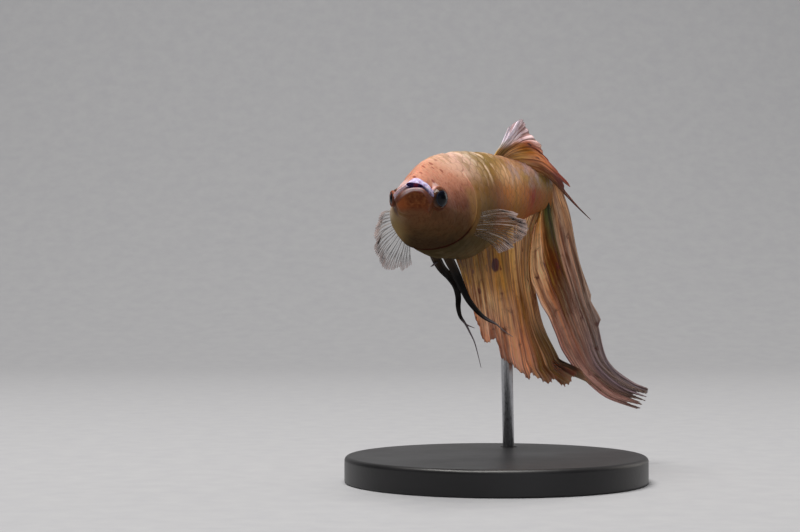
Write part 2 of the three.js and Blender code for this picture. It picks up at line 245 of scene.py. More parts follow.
def grid_normals(grid):
    """The unit cross product of the two tangents of a grid."""
    return unit(np.cross(np.gradient(grid, axis=0), np.gradient(grid, axis=1)))


def sheet(name, middle, half_thickness, attributes):
    """Two skins, half a thickness off a grid on either side, sewn together along the rim."""
    offset = grid_normals(middle) * half_thickness[..., None]
    over, under = middle + offset, middle - offset
    rows, columns = middle.shape[:2]
    index = np.arange(rows * columns).reshape(rows, columns)
    quads = np.stack([index[:-1, :-1], index[1:, :-1], index[1:, 1:], index[:-1, 1:]], -1).reshape(-1, 4)
    rim = np.concatenate([index[:-1, 0], index[-1, :-1], index[:0:-1, -1], index[0, :0:-1]])
    after = np.roll(rim, -1)
    lower = rows * columns
    edge = np.stack([rim + lower, after + lower, after, rim], -1)
    faces = np.vstack([quads, quads[:, ::-1] + lower, edge]).tolist()
    both = {key: np.vstack([flat(grid), flat(grid)]) for key, grid in attributes.items()}
    return new_object(name, np.vstack([flat(over), flat(under)]), faces, both)


# %% [markdown]
# ## The body's form
# One function gives any point of the straight body: along it, and round it. Each ring is an egg, widest
# below its middle on the head and above it at the tail, and leaner over the shoulders of the head.

# %% Describe the body
BODY_LENGTH = 49
TAIL_CAP = 1.2
COAT_DEPTH = 0.12  # the skin lies this far inside the frame's outline
MUZZLE = {"aside": -0.35, "along": 1.9, "reach": 1.5}  # the muzzle is set a little to the right
# Columns: along, back, belly, half width, widest level, power of the upper half.
STATIONS = np.array([
    (0.0, 0.0, 0.0, 0.0, 0.0, 2.0),
    (0.5, 0.6, -1.3, 1.55, -0.6, 1.7),
    (1.8, 1.25, -3.1, 2.4, -1.2, 1.6),
    (4.6, 2.25, -5.3, 3.1, -1.9, 1.45),
    (8.0, 3.2, -6.9, 4.25, -2.9, 1.4),
    (12.0, 4.15, -8.0, 5.05, -3.1, 1.6),
    (16.0, 4.8, -8.7, 5.2, -2.6, 1.85),
    (20.0, 5.2, -8.7, 5.0, -1.8, 2.0),
    (26.0, 5.35, -7.3, 4.2, -0.9, 2.0),
    (33.0, 5.1, -5.0, 3.1, 0.0, 2.0),
    (40.0, 4.7, -3.1, 2.1, 0.8, 2.0),
    (45.0, 4.5, -2.2, 1.4, 1.2, 2.0),
    (49.0, 4.5, -1.9, 0.5, 1.3, 2.0),
])


def profile(column):
    """A station column against the root of the distance, which keeps the snout round."""
    read = through_values(np.sqrt(STATIONS[:, 0] / BODY_LENGTH), STATIONS[:, column])
    return lambda along: read(np.sqrt(np.clip(along, 0, None) / BODY_LENGTH))


back, belly, half_width, widest, shoulder = [profile(column) for column in range(1, 6)]


def body_at(along, turn):
    """side = half width * cos^p, level = widest + reach * sin^p, where turn is 0 on the left and a quarter
    turn on the back, p is 1 below the widest level and 2 / shoulder above it. A bell along the fish sets the
    muzzle aside, and the ends of the rings close in a round cap."""
    cap = np.sqrt(1 - np.clip((along - BODY_LENGTH + TAIL_CAP) / TAIL_CAP, 0, 1) ** 2)
    cos, sin = np.cos(turn), np.sin(turn)
    power = np.where(sin > 0, 2 / shoulder(along), 1)
    reach = np.where(sin > 0, back(along) - widest(along), widest(along) - belly(along))
    side = half_width(along) * cap * np.sign(cos) * np.abs(cos) ** power
    side = side + MUZZLE["aside"] * bell(along, MUZZLE["along"], MUZZLE["reach"])
    level = widest(along) + reach * cap * np.sign(sin) * np.abs(sin) ** power
    return np.stack(np.broadcast_arrays(side, along, level), -1)


# %% [markdown]
# ## The face
# A betta's mouth opens upwards at the very tip: a peaked upper lip over a full lower jaw. The mouth, lips,
# jaw crease, nostrils and gill covers are all heights added to the skin, each a bell or a step of the
# distance to a line. The lips run along one arched curve, which drops from the tip to the corners of the
# mouth.

# %% Mouth and jaw
MOUTH_LEVEL = 0.12  # the line's level at the tip
MOUTH_HALVES = (2.3, 3.3)  # from the tip out to the left corner and to the right one
MOUTH_DROP = 1.95  # from the tip to the corners
MOUTH_ARCHES = (3.2, 1.6)  # the power of the arch on each side: the higher, the flatter over the tip
LIP = {"ends": 0.5, "middle": 0.6, "side": 0.05, "width": 0.9}  # the upper lip's thickness, as a bell
GAPE = {"side": 0.05, "half": 1.08, "height": 0.32, "depth": 0.6, "slant": 0.1, "low": 0.02, "sharp": 4}
# Folds, as bells of the distance to a line: height, centre, width.
UPPER_LIP = [(0.17, 0.5, 0.28), (-0.09, 1.08, 0.12), (-0.2, 0, 0.1)]
LOWER_LIP = [(0.12, -0.5, 0.2), (-0.06, -0.86, 0.1)]
CHIN = [(0.14, -1.9, 0.5)]
JAW_CREASE = [(0.07, 0.4, 0.3), (-0.1, 0, 0.16)]
# Where they fade out, by the share of the way to the corner and by mm along.
LIPS_END, LOWER_LIP_END, CHIN_END = (0.75, 1.05), (0.45, 0.8), (0.5, 1)
LIPS_DEEP, CHIN_DEEP, GAPE_DEEP = (2.2, 3.0), 3, 2
# The crease runs through a point (along, level), across a direction; it fades up the jaw and to its middle.
JAW = {"through": (2.8, -1.9), "across": (0.96, -0.27), "level": (-2.1, -1.5), "aside": (0.6, 1.9)}


def from_mouth_line(places):
    """The distance over the arched line level = top - drop * share^power, counted in lip thicknesses over the
    line and in mm under it, and the share of the way out to the corner."""
    side, _, level = np.moveaxis(places, -1, 0)
    half = np.where(side > 0, *MOUTH_HALVES)
    arch = np.where(side > 0, *MOUTH_ARCHES)
    share = np.abs(side) / half
    slope = arch * MOUTH_DROP / half * share ** (arch - 1)
    over = (level - MOUTH_LEVEL + MOUTH_DROP * share**arch) / np.sqrt(1 + slope**2)
    lip = LIP["ends"] + LIP["middle"] * bell(side, LIP["side"], LIP["width"])
    return np.where(over > 0, over / lip, over), share


def mouth_relief(places):
    """Lips out and the lines between them in, each a bell across the distance to the line."""
    over, share = from_mouth_line(places)
    along = places[..., 1]
    lips = bells(over, UPPER_LIP) + bells(over, LOWER_LIP) * fall(*LOWER_LIP_END, share)
    lips *= fall(*LIPS_END, share) * fall(*LIPS_DEEP, along)
    return lips + bells(over, CHIN) * fall(*CHIN_END, share) * (along < CHIN_DEEP)


def gape_share(places):
    """How far inside the open mouth: sharp * (1 - the length of (side / half width, distance to the line /
    height)), held between 0 and 1."""
    side, along, level = np.moveaxis(places, -1, 0)
    over, _ = from_mouth_line(places)
    across = (side - GAPE["side"]) / GAPE["half"]
    above = np.where(over > 0, level - MOUTH_LEVEL + GAPE["slant"] * side, over) + GAPE["low"]
    inside = GAPE["sharp"] * (1 - np.hypot(across, above / GAPE["height"]))
    return np.clip(inside, 0, 1) * (along < GAPE_DEEP)


def jaw_relief(places):
    """A crease from the corner of the mouth down beside the chin, with the cheek's fold behind it."""
    side, along, level = np.moveaxis(places, -1, 0)
    behind = np.stack([along, level], -1) - JAW["through"]
    behind = np.sum(behind * JAW["across"], -1)
    return fall(*JAW["level"], level) * smooth(*JAW["aside"], np.abs(side)) * bells(behind, JAW_CREASE)


# %% Gill covers, throat and nostrils
GILL_EDGE = {"centre": (0, 2, -1), "radii": (17, 13.3, 8.1)}
CHEEK_EDGE = {"centre": (0, 0, -1), "radii": (12, 9.2, 9)}
COVER = {"thickness": 0.2, "taper": 1.4, "drop": 0.12, "top": (0.6, 3.0)}
COVER_GROOVE = [(0.16, 0.3, 0.26)]  # depth, place past the edge, width
CHEEK = {"depth": 0.03, "width": 0.3, "top": (0, 1.6), "aside": (1, 2.4)}
THROAT = {"from": (3.6, 4.6), "to": (10, 11.5), "top": (-4.8, -3.6), "aside": 0.35, "spread": 0.2}
THROAT_FOLD = [(-0.03, 0, 0.25)]
HEAD_RADIUS = 11  # mm
NOSTRILS = [(2.1, 1.05, 0.13), (3.3, 1.5, 0.1)]  # along, turn from the left side (radians), radius
NOSTRIL_RING = [(0.05, 1.6, 0.6), (-0.16, 0, 0.8)]  # height in mm, then centre and width in radii


def beyond(places, edge):
    """About the distance outside an ellipsoid: (root of the summed squared shares - 1) * head radius."""
    shares = (places - np.array(edge["centre"])) / np.array(edge["radii"])
    return (np.linalg.norm(shares, axis=-1) - 1) * HEAD_RADIUS


def gill_relief(places):
    """The gill cover thickens to its free edge and drops off behind it; the cheek ends in a low crease."""
    side, _, level = np.moveaxis(places, -1, 0)
    edge = beyond(places, GILL_EDGE)
    cover = COVER["thickness"] * np.exp(np.minimum(edge, 0) / COVER["taper"]) * fall(0, COVER["drop"], edge)
    cheek = CHEEK["depth"] * bell(beyond(places, CHEEK_EDGE), 0, CHEEK["width"])
    cheek = cheek * fall(*CHEEK["top"], level) * smooth(*CHEEK["aside"], np.abs(side))
    return fall(*COVER["top"], level) * (cover - bells(edge, COVER_GROOVE)) - cheek


def throat_relief(places):
    """Two folds run back from the chin and spread under the gill covers."""
    side, along, level = np.moveaxis(places, -1, 0)
    stretch = smooth(*THROAT["from"], along) * fall(*THROAT["to"], along) * fall(*THROAT["top"], level)
    apart = np.abs(side) - THROAT["aside"] - THROAT["spread"] * (along - THROAT["from"][0])
    return bells(apart, THROAT_FOLD) * stretch


def nostril_relief(places):
    """A pit in a low ring, twice on each side."""
    mirrored = places * np.where(places[..., :1] < 0, [-1, 1, 1], [1, 1, 1])
    relief = np.zeros(places.shape[:-1])
    for along, turn, radius in NOSTRILS:
        far = np.linalg.norm(mirrored - body_at(np.array(along), np.array(turn)), axis=-1)
        relief += bells(far / radius, NOSTRIL_RING)
    return relief


# %% [markdown]
# ## The eye sockets
# The skin near an eye is moved along lines from the eye's centre: inside the lid's opening it goes behind
# the eyeball, at the opening it hugs it as a rolled rim, and further out it eases back to the head.

# %% Sink the sockets round the eyes
EYE_AXES = {1: (0.76, -0.65, -0.02), -1: (-0.93, -0.37, 0.0)}  # of the left and the right eye
LID_ANGLES = {1: 64, -1: 29}  # degrees from the left and the right eye's axis to the edge of the skin
# In mm: how far the skin goes behind the ball, stands off it and rolls out at the lid, and how far from the
# eye's centre it moves. In degrees: past the lid angle, the middle of the roll, its width and its far end.
LID = {"hidden": 0.45, "off": 0.02, "roll": 0.16, "reach": 2.6, "past": 8, "width": 7, "eased": 46}


def eye_pose(side):
    """An eye's centre and its unit axis, on the straight fish."""
    return np.array([side * EYE["side"], EYE["along"], EYE["level"]]), unit(np.array(EYE_AXES[side]))


def eye_frame(places, side):
    """Offsets from an eye's centre, their lengths, and their angles from its axis in degrees."""
    centre, axis = eye_pose(side)
    offset = places - centre
    length = np.linalg.norm(offset, axis=-1)
    angle = np.degrees(np.arccos(np.clip(offset @ axis / np.maximum(length, TINY), -1, 1)))
    return centre, offset, length, angle


def sink_sockets(places):
    """length -> behind the ball under the lid angle, a rolled rim just outside it, and eased back from there
    to the head's own surface."""
    for side in (1, -1):
        centre, offset, length, angle = eye_frame(places, side)
        lid = LID_ANGLES[side]
        near = (places[..., 0] * side > 0.3) & (length < LID["reach"])
        rim = EYE["radius"] + LID["off"] + LID["roll"] * bell(angle, lid + LID["past"], LID["width"])
        eased = lerp(rim, length, smooth(lid + LID["past"], lid + LID["eased"], angle))
        hidden = EYE["radius"] - LID["hidden"]
        target = lerp(hidden, eased, smooth(lid - LID["width"], lid, angle))
        ratio = np.where(near, target / np.maximum(length, TINY), 1)
        places = centre + offset * ratio[..., None]
    return places


# %% Raise the skin
RINGS, AROUND = 350, 240
RINGS_END = BODY_LENGTH - 0.02


def body_frame(along, turn):
    """The plain surface and its unit normal, from the cross product of small steps along and round it."""
    step = 1e-3
    ahead = body_at(along + step, turn) - body_at(along - step, turn)
    about = body_at(along, turn + step) - body_at(along, turn - step)
    return body_at(along, turn), unit(np.cross(ahead, about))


def raised(places, normals, height):
    """The body's surface with all its relief, and lifted by height along its normals."""
    relief = mouth_relief(places) + jaw_relief(places) + gill_relief(places)
    relief += throat_relief(places) + nostril_relief(places)
    moved = places + normals * (relief + height)[..., None]
    moved[..., 1] += GAPE["depth"] * smooth(0, 1, gape_share(places))
    return sink_sockets(moved)


def zones(places):
    """What the colours go by: the straight place, (over the mouth, share of the way to its corner, gape), and
    (past the gill cover's edge, past the cheek's, away from the nearer eye)."""
    over, share = from_mouth_line(places)
    from_eye = np.minimum(eye_frame(places, 1)[2], eye_frame(places, -1)[2])
    return {
        "place": places,
        "mouth": np.stack([over, share, gape_share(places)], -1),
        "head": np.stack([beyond(places, GILL_EDGE), beyond(places, CHEEK_EDGE), from_eye], -1),
    }


share = np.linspace(0, 1, RINGS + 2)[1:-1, None]
turn = np.linspace(0, 2 * np.pi, AROUND, endpoint=False)[None, :]
plain_body, plain_normals = body_frame(*np.broadcast_arrays(RINGS_END * share**2, turn))
skin_places = raised(plain_body, plain_normals, np.full(plain_body.shape[:2], -COAT_DEPTH))
skin_poles = np.stack([skin_places[0].mean(0), skin_places[-1].mean(0)])
plain_poles = np.stack([plain_body[0].mean(0), plain_body[-1].mean(0)])
skin_zones = zones(plain_body)
pole_zones = zones(plain_poles)
skin_marks = {key: (skin_zones[key], pole_zones[key]) for key in skin_zones}
skin = ringed("skin", bend(skin_places), skin_marks, bend(skin_poles))
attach(skin, "root")
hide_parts("head", "lower_jaw", "gill_cover_left", "gill_cover_right", "trunk", "tail_stem")

# %% [markdown]
# ## Eyes
# A fish's eye is a clear bulging ball over a dark pupil, with no true lid. Each one is a surface of
# revolution about its own axis: rings of growing angle from the middle of the pupil to the back of the ball.

# %% Turn the eyeballs
BALL_RADIUS = EYE["radius"] - 0.04  # mm
CORNEA = {"height": 0.07, "width": 0.75}  # mm and radians


def eyeball(side, rings=60, around=72):
    """centre + r * (cos(angle) * axis + sin(angle) * round), where r bulges a little at the cornea."""
    centre, axis = eye_pose(side)
    across = unit(np.cross([0, 0, 1], axis))
    above = np.cross(axis, across)
    angle = np.linspace(0, np.pi, rings + 2)[1:-1, None]
    about = np.linspace(0, 2 * np.pi, around, endpoint=False)[None, :]
    out = np.sin(angle)[..., None] * (np.cos(about)[..., None] * across + np.sin(about)[..., None] * above)
    reach = (BALL_RADIUS + CORNEA["height"] * bell(angle, 0, CORNEA["width"]))[..., None]
    places = centre + reach * (np.cos(angle)[..., None] * axis + out)
    poles = centre + np.array([[BALL_RADIUS + CORNEA["height"]], [-BALL_RADIUS]]) * axis
    angles = np.stack(np.broadcast_arrays(np.degrees(angle), about, 0 * about), -1)
    pole_angles = np.array([[0, 0, 0], [180, 0, 0]])
    name = "left" if side > 0 else "right"
    eye = ringed(f"eyeball_{name}", bend(places), {"eye": (angles, pole_angles)}, bend(poles))
    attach(eye, "root")
    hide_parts(f"eye_{name}")
    return eye


eyeballs = [eyeball(1), eyeball(-1)]

# %% [markdown]
# ## Scales
# Scales lie like tiles: each is rooted in the skin and its rounded rear edge stands a hair proud over the
# next row. They are laid on a net of rows along the body and steps round it, every other row shifted by half
# a step. The net is measured with a tape, as arc length from the widest line up to the back and down to the
# belly, so the steps keep their true size however the body swells and narrows.

# %% A tape round the body
TAPE_RINGS, TAPE_MARKS = 160, 241
TABLE_STEPS = 40  # on either side of the widest line

tape_along = np.linspace(0.3, BODY_LENGTH - 0.4, TAPE_RINGS)
tape_turn = np.linspace(-np.pi / 2, np.pi / 2, TAPE_MARKS)
tape_points = body_at(tape_along[:, None], tape_turn[None, :])
tape = np.cumsum(np.linalg.norm(np.diff(tape_points, axis=1), axis=-1), axis=1)
tape = np.hstack([np.zeros((TAPE_RINGS, 1)), tape])
tape -= tape[:, TAPE_MARKS // 2][:, None]  # zero on the widest line
tape_share = np.linspace(-1, 1, 2 * TABLE_STEPS + 1)
turn_table = np.array([
    np.interp(np.where(tape_share < 0, -marks[0], marks[-1]) * tape_share, marks, tape_turn) for marks in tape
])


def turn_at(along, arc):
    """The turn round the left side that lies arc millimetres above the widest line, read between the table's
    entries; arcs past the back or the belly stop there."""
    down, up = [np.interp(along, tape_along, tape[:, end]) for end in (0, -1)]
    reach = np.where(arc < 0, -down, up)
    row = np.clip((along - tape_along[0]) / (tape_along[1] - tape_along[0]), 0, TAPE_RINGS - 1.001)
    column = np.clip((arc / reach + 1) * TABLE_STEPS, 0, 2 * TABLE_STEPS - 0.001)
    i, j = row.astype(int), column.astype(int)
    u, v = row - i, column - j
    near = lerp(turn_table[i, j], turn_table[i + 1, j], u)
    far = lerp(turn_table[i, j + 1], turn_table[i + 1, j + 1], u)
    return lerp(near, far, v)


# %% Lay out the roots
SCALES_FROM, SCALES_TO = 4.9, 48.3
ROW_STEP = 0.92  # of a scale's size
MOST_STEPS = 24  # up and down from the widest line
SCATTER = 0.04  # mm
SEAMS = (0.15, 0.1)  # mm left free along the belly and the back
# Bare skin: near the eye, ahead of the gill cover's edge up to a level, under the throat and on the jaws.
BARE = {
    "eye": 1.95, "eye_scales": 0.4, "edge": -0.1, "edge_scales": 0.95, "edge_top": 2.6, "throat": -4.6,
    "jaw": (6.2, 0.2),
}
SCALE_SIZES = through_values([4, 9, 16, 34, 49], [0.72, 0.95, 1.4, 1.35, 0.95])  # mm, by distance along
rng = np.random.default_rng(7)


def scale_roots():
    """Rows a scale's size apart along the body, with steps of the same size round it; kept where the skin
    carries scales: not round the eyes, on the jaws and throat, or across the gill covers' edges."""
    rows = [SCALES_FROM]
    while rows[-1] < SCALES_TO:
        rows.append(rows[-1] + ROW_STEP * SCALE_SIZES(rows[-1]))
    rows = np.array(rows[:-1])
    steps = np.arange(-MOST_STEPS, MOST_STEPS + 1)
    along, step = np.meshgrid(rows, steps, indexing="ij")
    shift = 0.5 * (np.arange(len(rows)) % 2)[:, None]
    arc = (step + shift) * SCALE_SIZES(along)
    low = np.interp(along, tape_along, tape[:, 0])
    high = np.interp(along, tape_along, tape[:, -1])
    inside = (arc > low + SEAMS[0]) & (arc < high - SEAMS[1])
    along, arc = along[inside], arc[inside]
    along = along + rng.normal(0, SCATTER, along.shape)
    arc = arc + rng.normal(0, SCATTER, arc.shape)
    place = body_at(along, turn_at(along, arc))
    mark = zones(place)
    gill, eye = mark["head"][:, 0], mark["head"][:, 2]
    size = SCALE_SIZES(along)
    level = place[:, 2]
    behind = gill > BARE["edge"]
    crossing = (gill > -BARE["edge_scales"] * size) & (gill < BARE["edge"]) & (level < BARE["edge_top"])
    keep = (eye > BARE["eye"] + BARE["eye_scales"] * size) & ~crossing
    keep &= (level > BARE["throat"]) | behind
    keep &= (level > BARE["jaw"][1]) | (along > BARE["jaw"][0])
    return along[keep], arc[keep], size[keep]


# %% Shape one scale
SCALE_GRID = 6


def disc_grid(count):
    """A square net pressed into a round disc: u = x * root(1 - y^2 / 2), v = y * root(1 - x^2 / 2)."""
    x, y = np.meshgrid(np.linspace(-1, 1, count), np.linspace(-1, 1, count), indexing="ij")
    return x * np.sqrt(1 - y**2 / 2), y * np.sqrt(1 - x**2 / 2)


def lens_faces(count):
    """The faces of the upper net, then of the lower net, which shares its rim."""
    index = np.arange(count * count).reshape(count, count)
    lower = index.copy()
    lower[1:-1, 1:-1] = count * count + np.arange((count - 2) ** 2).reshape(count - 2, count - 2)
    top, under = [
        np.stack([net[:-1, :-1], net[:-1, 1:], net[1:, 1:], net[1:, :-1]], -1).reshape(-1, 4)
        for net in (index, lower)
    ]
    return np.vstack([top, under[:, ::-1]])


def sharpen_rims(made, per_scale):
    """Marks the edges between two rim points, so that the top isn't shaded round onto the underside."""
    net = np.zeros((SCALE_GRID, SCALE_GRID), bool)
    net[[0, -1], :] = net[:, [0, -1]] = True
    on_rim = np.concatenate([net.ravel(), np.zeros(per_scale - SCALE_GRID**2, bool)])
    ends = np.empty(len(made.data.edges) * 2, np.int32)
    made.data.edges.foreach_get("vertices", ends)
    sharp = on_rim[ends % per_scale].reshape(-1, 2).all(1)
    layer = made.data.attributes.new("sharp_edge", "BOOLEAN", "EDGE")
    layer.data.foreach_set("value", sharp)


# %% Lay all the scales
PATCH = 0.003  # each scale's share of the unwrap
# Of a scale's size: from its root to its middle, and half its length and width.
SCALE_MIDDLE, SCALE_HALF_LENGTH, SCALE_HALF_WIDTH = 0.35, 0.78, 0.62
FULL_SIZE = 1.4  # mm
# In mm: how far the front edge lies in the skin, a full-size scale's rear edge stands over it, the sides of a
# scale drop from its middle, and its thickness there.
SCALE_SUNK, SCALE_LIFT, SCALE_CROWN, SCALE_BODY = 0.07, 0.13, 0.02, 0.06
HEAD_LIFT = 0.45  # the share of that lift on the head
HEAD_TO_FLANK = (6, 15)  # mm along, where it grows to all of it
LIFT_SPREAD = 0.12


def patch_uv(made, centres, u, v):
    """Each scale is a small patch at its root's place on an unwrap of the skin: along, and round."""
    points = np.stack([centres[0] + PATCH / 2 * v, centres[1] + PATCH / 2 * u], -1).reshape(-1, 2)
    corners = np.empty(len(made.data.loops), np.int32)
    made.data.loops.foreach_get("vertex_index", corners)
    layer = made.data.uv_layers.new(name="OFBake")
    layer.uv.foreach_set("vector", points[corners].astype(np.float32).ravel())


def lay_scales(name, side, roots):
    """Every scale at once. Its net is laid along the body and round it, so it follows the body's curve:
    height = -sunk + (sunk + lift) * a soft step from front to rear - crown * u^2."""
    along, arc, size = [values[:, None, None] for values in roots]
    u, v = disc_grid(SCALE_GRID)
    count = len(roots[0])
    net_along = np.minimum(along + size * (SCALE_MIDDLE + SCALE_HALF_LENGTH * v), BODY_LENGTH - 0.3)
    net_arc = arc + size * SCALE_HALF_WIDTH * u * np.ones_like(net_along)
    turn = turn_at(net_along, net_arc)
    lift = SCALE_LIFT * (HEAD_LIFT + (1 - HEAD_LIFT) * smooth(*HEAD_TO_FLANK, along)) * size / FULL_SIZE
    lift = lift * rng.normal(1, LIFT_SPREAD, (count, 1, 1))
    height = -SCALE_SUNK + (SCALE_SUNK + lift) * smooth(-0.9, 1.0, v) - SCALE_CROWN * u**2
    places, normals = body_frame(net_along, turn)
    top = raised(places, normals, height - COAT_DEPTH)
    body = SCALE_BODY * np.clip(1 - u**2 - v**2, 0, 1)
    under = raised(places, normals, height - COAT_DEPTH - body)[:, 1:-1, 1:-1]
    points = np.concatenate([top.reshape(count, -1, 3), under.reshape(count, -1, 3)], 1)
    local = np.stack(np.broadcast_arrays(u, v, rng.uniform(0, 1, (count, 1, 1))), -1)
    marks = {**zones(places), "scale": local}
    stacked = {
        key: np.concatenate([grid.reshape(count, -1, 3), grid[:, 1:-1, 1:-1].reshape(count, -1, 3)], 1)
        for key, grid in marks.items()
    }
    per_scale = points.shape[1]
    faces = lens_faces(SCALE_GRID)[None] + per_scale * np.arange(count)[:, None, None]
    if side < 0:
        points = points * (-1, 1, 1)
        stacked["place"] = stacked["place"] * (-1, 1, 1)
        faces = faces[..., ::-1]
    attributes = {key: flat(grid) for key, grid in stacked.items()}
    made = new_object(f"scales_{name}", bend(flat(points)), faces.reshape(-1, 4).tolist(), attributes)
    sharpen_rims(made, per_scale)
    root_turn = turn_at(roots[0], roots[1])
    round_share = (np.where(side > 0, root_turn, np.pi - root_turn) + np.pi / 2) / (2 * np.pi)
    centres = [(roots[0] / BODY_LENGTH)[:, None], round_share[:, None]]
    patch_uv(made, centres, stacked["scale"][..., 0], stacked["scale"][..., 1])
    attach(made, "root")
    return made


roots = scale_roots()
coats = [lay_scales("left", 1, roots), lay_scales("right", -1, roots)]
print(len(roots[0]), "scales on each side")

# %% [markdown]
# ## Fin rays
# A betta's long fins are thin skins on bony rays, which fork and fork again towards the edge. Between the
# rays the skin hangs in fine folds, and the edge is frayed where old tears have healed. A fin is one sheet:
# its middle surface is a function of two numbers, across (from ray to ray) and reach (from root to edge),
# and the rays are where the sheet is thicker.

# %% Rays, folds and frayed edges
FIN_SKIN = 0.035  # mm, half the thickness between the rays
FIN_RAY = 0.075  # mm more on a ray
FIN_TAPER = 0.55  # the share of the thickness that is lost at the edge
FORKS = [(0.25, 0.18, 0.55), (0.125, 0.5, 0.9)]  # spread in ray spacings, and the reach over which it opens
TEAR = 2.5  # how much deeper than a frayed ray a tear is
RAY_ENDS = 0.012  # the share of the length by which rays run on past the skin


def ray_ridge(across, reach, count, forks, width):
    """1 on a ray, 0 between. phase is the distance from the middle of a ray, in ray spacings; each fork puts
    the ray at | |phase| - spread |, with the spread opening on the way out."""
    phase = np.abs((across * count) % 1 - 0.5)
    for spread, low, high in FORKS[:forks]:
        phase = np.abs(phase - spread * smooth(low, high, reach))
    return bell(phase, 0, width)


def ragged(across, notches, depth):
    """1 - depth * |sin(pi * notches * across)|^1.5: an edge torn in between groups of rays."""
    return 1 - depth * np.abs(np.sin(np.pi * notches * across)) ** 1.5


def frayed(fin, across):
    """1 - depth * a random share for each ray, smoothly joined, and more at a few random rays."""
    count = fin["rays"]
    depth, seed, chance = fin["fray"]
    draw = np.random.default_rng(seed)
    lengths = draw.uniform(0, 1, count + 2) + TEAR * (draw.uniform(0, 1, count + 2) < chance)
    place = across * count
    first = np.clip(place.astype(int), 0, count)
    share = smooth(0, 1, place - first)
    return 1 - depth * lerp(lengths[first], lengths[first + 1], share)


def fin_net(fin, rows, forks=2, width=0.075):
    """The two numbers of a fin's middle surface, reach down the net and across along it, and its rays."""
    columns = fin["rays"] * fin["columns"] + 1
    reach, across = np.meshgrid(np.linspace(0, 1, rows), np.linspace(0, 1, columns), indexing="ij")
    return reach, across, ray_ridge(across, reach, fin["rays"], forks, width)


def pleats(fin, across):
    """Broad waves from side to side: pleat * sin(2 pi * pleats * across)."""
    return fin["pleat"] * np.sin(2 * np.pi * fin["pleats"] * across)


def folds(fin, across):
    """Fine waves, one for each ray: fold * cos(2 pi * rays * across)."""
    return fin["fold"] * np.cos(2 * np.pi * fin["rays"] * across)


def straight(side, along, level):
    """Straight places from three arrays."""
    return np.stack(np.broadcast_arrays(side, along, level), -1)


def upright(points):
    """(along, level) points as straight places on the middle plane."""
    return straight(0, points[..., 0], points[..., 1])


def fin_sheet(name, middle, across, reach, ridge, node, thin=1.0):
    """A closed sheet with raised rays, thinning to the edge: half = (skin + ray * ridge) * taper."""
    half = (FIN_SKIN + FIN_RAY * ridge) * (1 - FIN_TAPER * reach**1.5) * thin
    made = sheet(name, bend(middle), half, {"fin": np.stack([across, reach, ridge], -1)})
    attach(made, "root")
    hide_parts(node)
    return made


# %% [markdown]
# ## Anal fin
# The longest fin starts under the breast and sweeps back to the tail. Its front edge is short and its rear
# corner long, and it sways to one side and back along its length.

# %% Hang the anal fin
# "fray" is the depth, the seed and the chance of a tear; a net has "columns" columns for each ray.
ANAL = {
    "from": 18.4, "to": 46.2, "root": 0.9, "sag": 5.3, "right": 0.95, "left": 1.05, "pleats": 4.5,
    "pleat": 0.6, "fold": 0.13, "rays": 23, "columns": 8, "fray": (0.022, 3, 0.2),
}
ANAL_TIPS = through_points([
    (22.7, -15.5), (24.2, -17.8), (27.1, -19.9), (31.2, -21.1), (34.3, -22.9), (39.8, -25.2), (43.7, -25.5),
    (47.1, -26.4), (50.1, -26.7), (53.5, -26.6), (57.2, -26.9),
])


def anal_fin(rows=110):
    """root + (tip - root) * reach, with the sway: pleats that fade to the rear, and the rear edge out to the
    right halfway down and to the left at its tip."""
    reach, across, ridge = fin_net(ANAL, rows, forks=1, width=0.09)
    edge = ragged(across, 6, 0.04) * frayed(ANAL, across) * (1 - RAY_ENDS * (1 - ridge))
    length = lerp(1, edge, smooth(0.3, 1, reach))
    root_along = lerp(ANAL["from"], ANAL["to"], across)
    root = straight(0, root_along, belly(root_along) + ANAL["root"])
    places = lerp(root, upright(ANAL_TIPS(across)), (reach * length)[..., None])
    places[..., 1] -= ANAL["sag"] * across**3 * smooth(0, 0.42, reach) * fall(0.9, 1.01, reach)
    pleat = pleats(ANAL, across) * reach**0.7 * smooth(0.05, 0.5, across) * fall(0.65, 0.95, across)
    rear = ANAL["left"] * smooth(0.7, 1, reach)
    rear -= ANAL["right"] * smooth(0, 0.12, reach) * fall(0.6, 0.85, reach)
    sway = pleat + rear * smooth(0.5, 0.9, across)
    places[..., 0] += sway + ((1 - across) ** 2 + folds(ANAL, across)) * reach
    return fin_sheet("fin_anal", places, across, reach, ridge, "anal_fin")


anal = anal_fin()

# %% [markdown]
# ## Tail fin
# The tail fin hangs from the end of the body like a cloth that is too big: its top edge falls in an S, and
# its front edge comes forward under the body. Two rays of the rear edge end early, in small tufts.

# %% Hang the tail fin
CAUDAL = {
    "swing": 0.5, "pleats": 3, "pleat": 0.65, "fold": 0.12, "rays": 13, "columns": 14,
    "fray": (0.02, 5, 0.35),
}
CAUDAL_TOP = through_points([
    (47.6, 3.9), (49.3, 3.2), (50.9, 1), (52.6, -2.2), (54, -7), (56.3, -13), (58.9, -17.8), (60.7, -23),
    (64.4, -26), (68, -27.5),
])
CAUDAL_BOTTOM = through_points([
    (47.8, -1.4), (42.9, -4), (41.2, -7.8), (41.4, -11.4), (44.8, -14.9), (48.5, -17.9), (51.9, -21.4),
    (55.6, -25), (60.5, -28.5), (66.8, -30.6),
])
CAUDAL_TUFTS = ((0.575, 0.5), (0.66, 0.7))  # reach, and how far each stands out in mm
TUFT_WAY = (0.94, 0.34)  # back and up


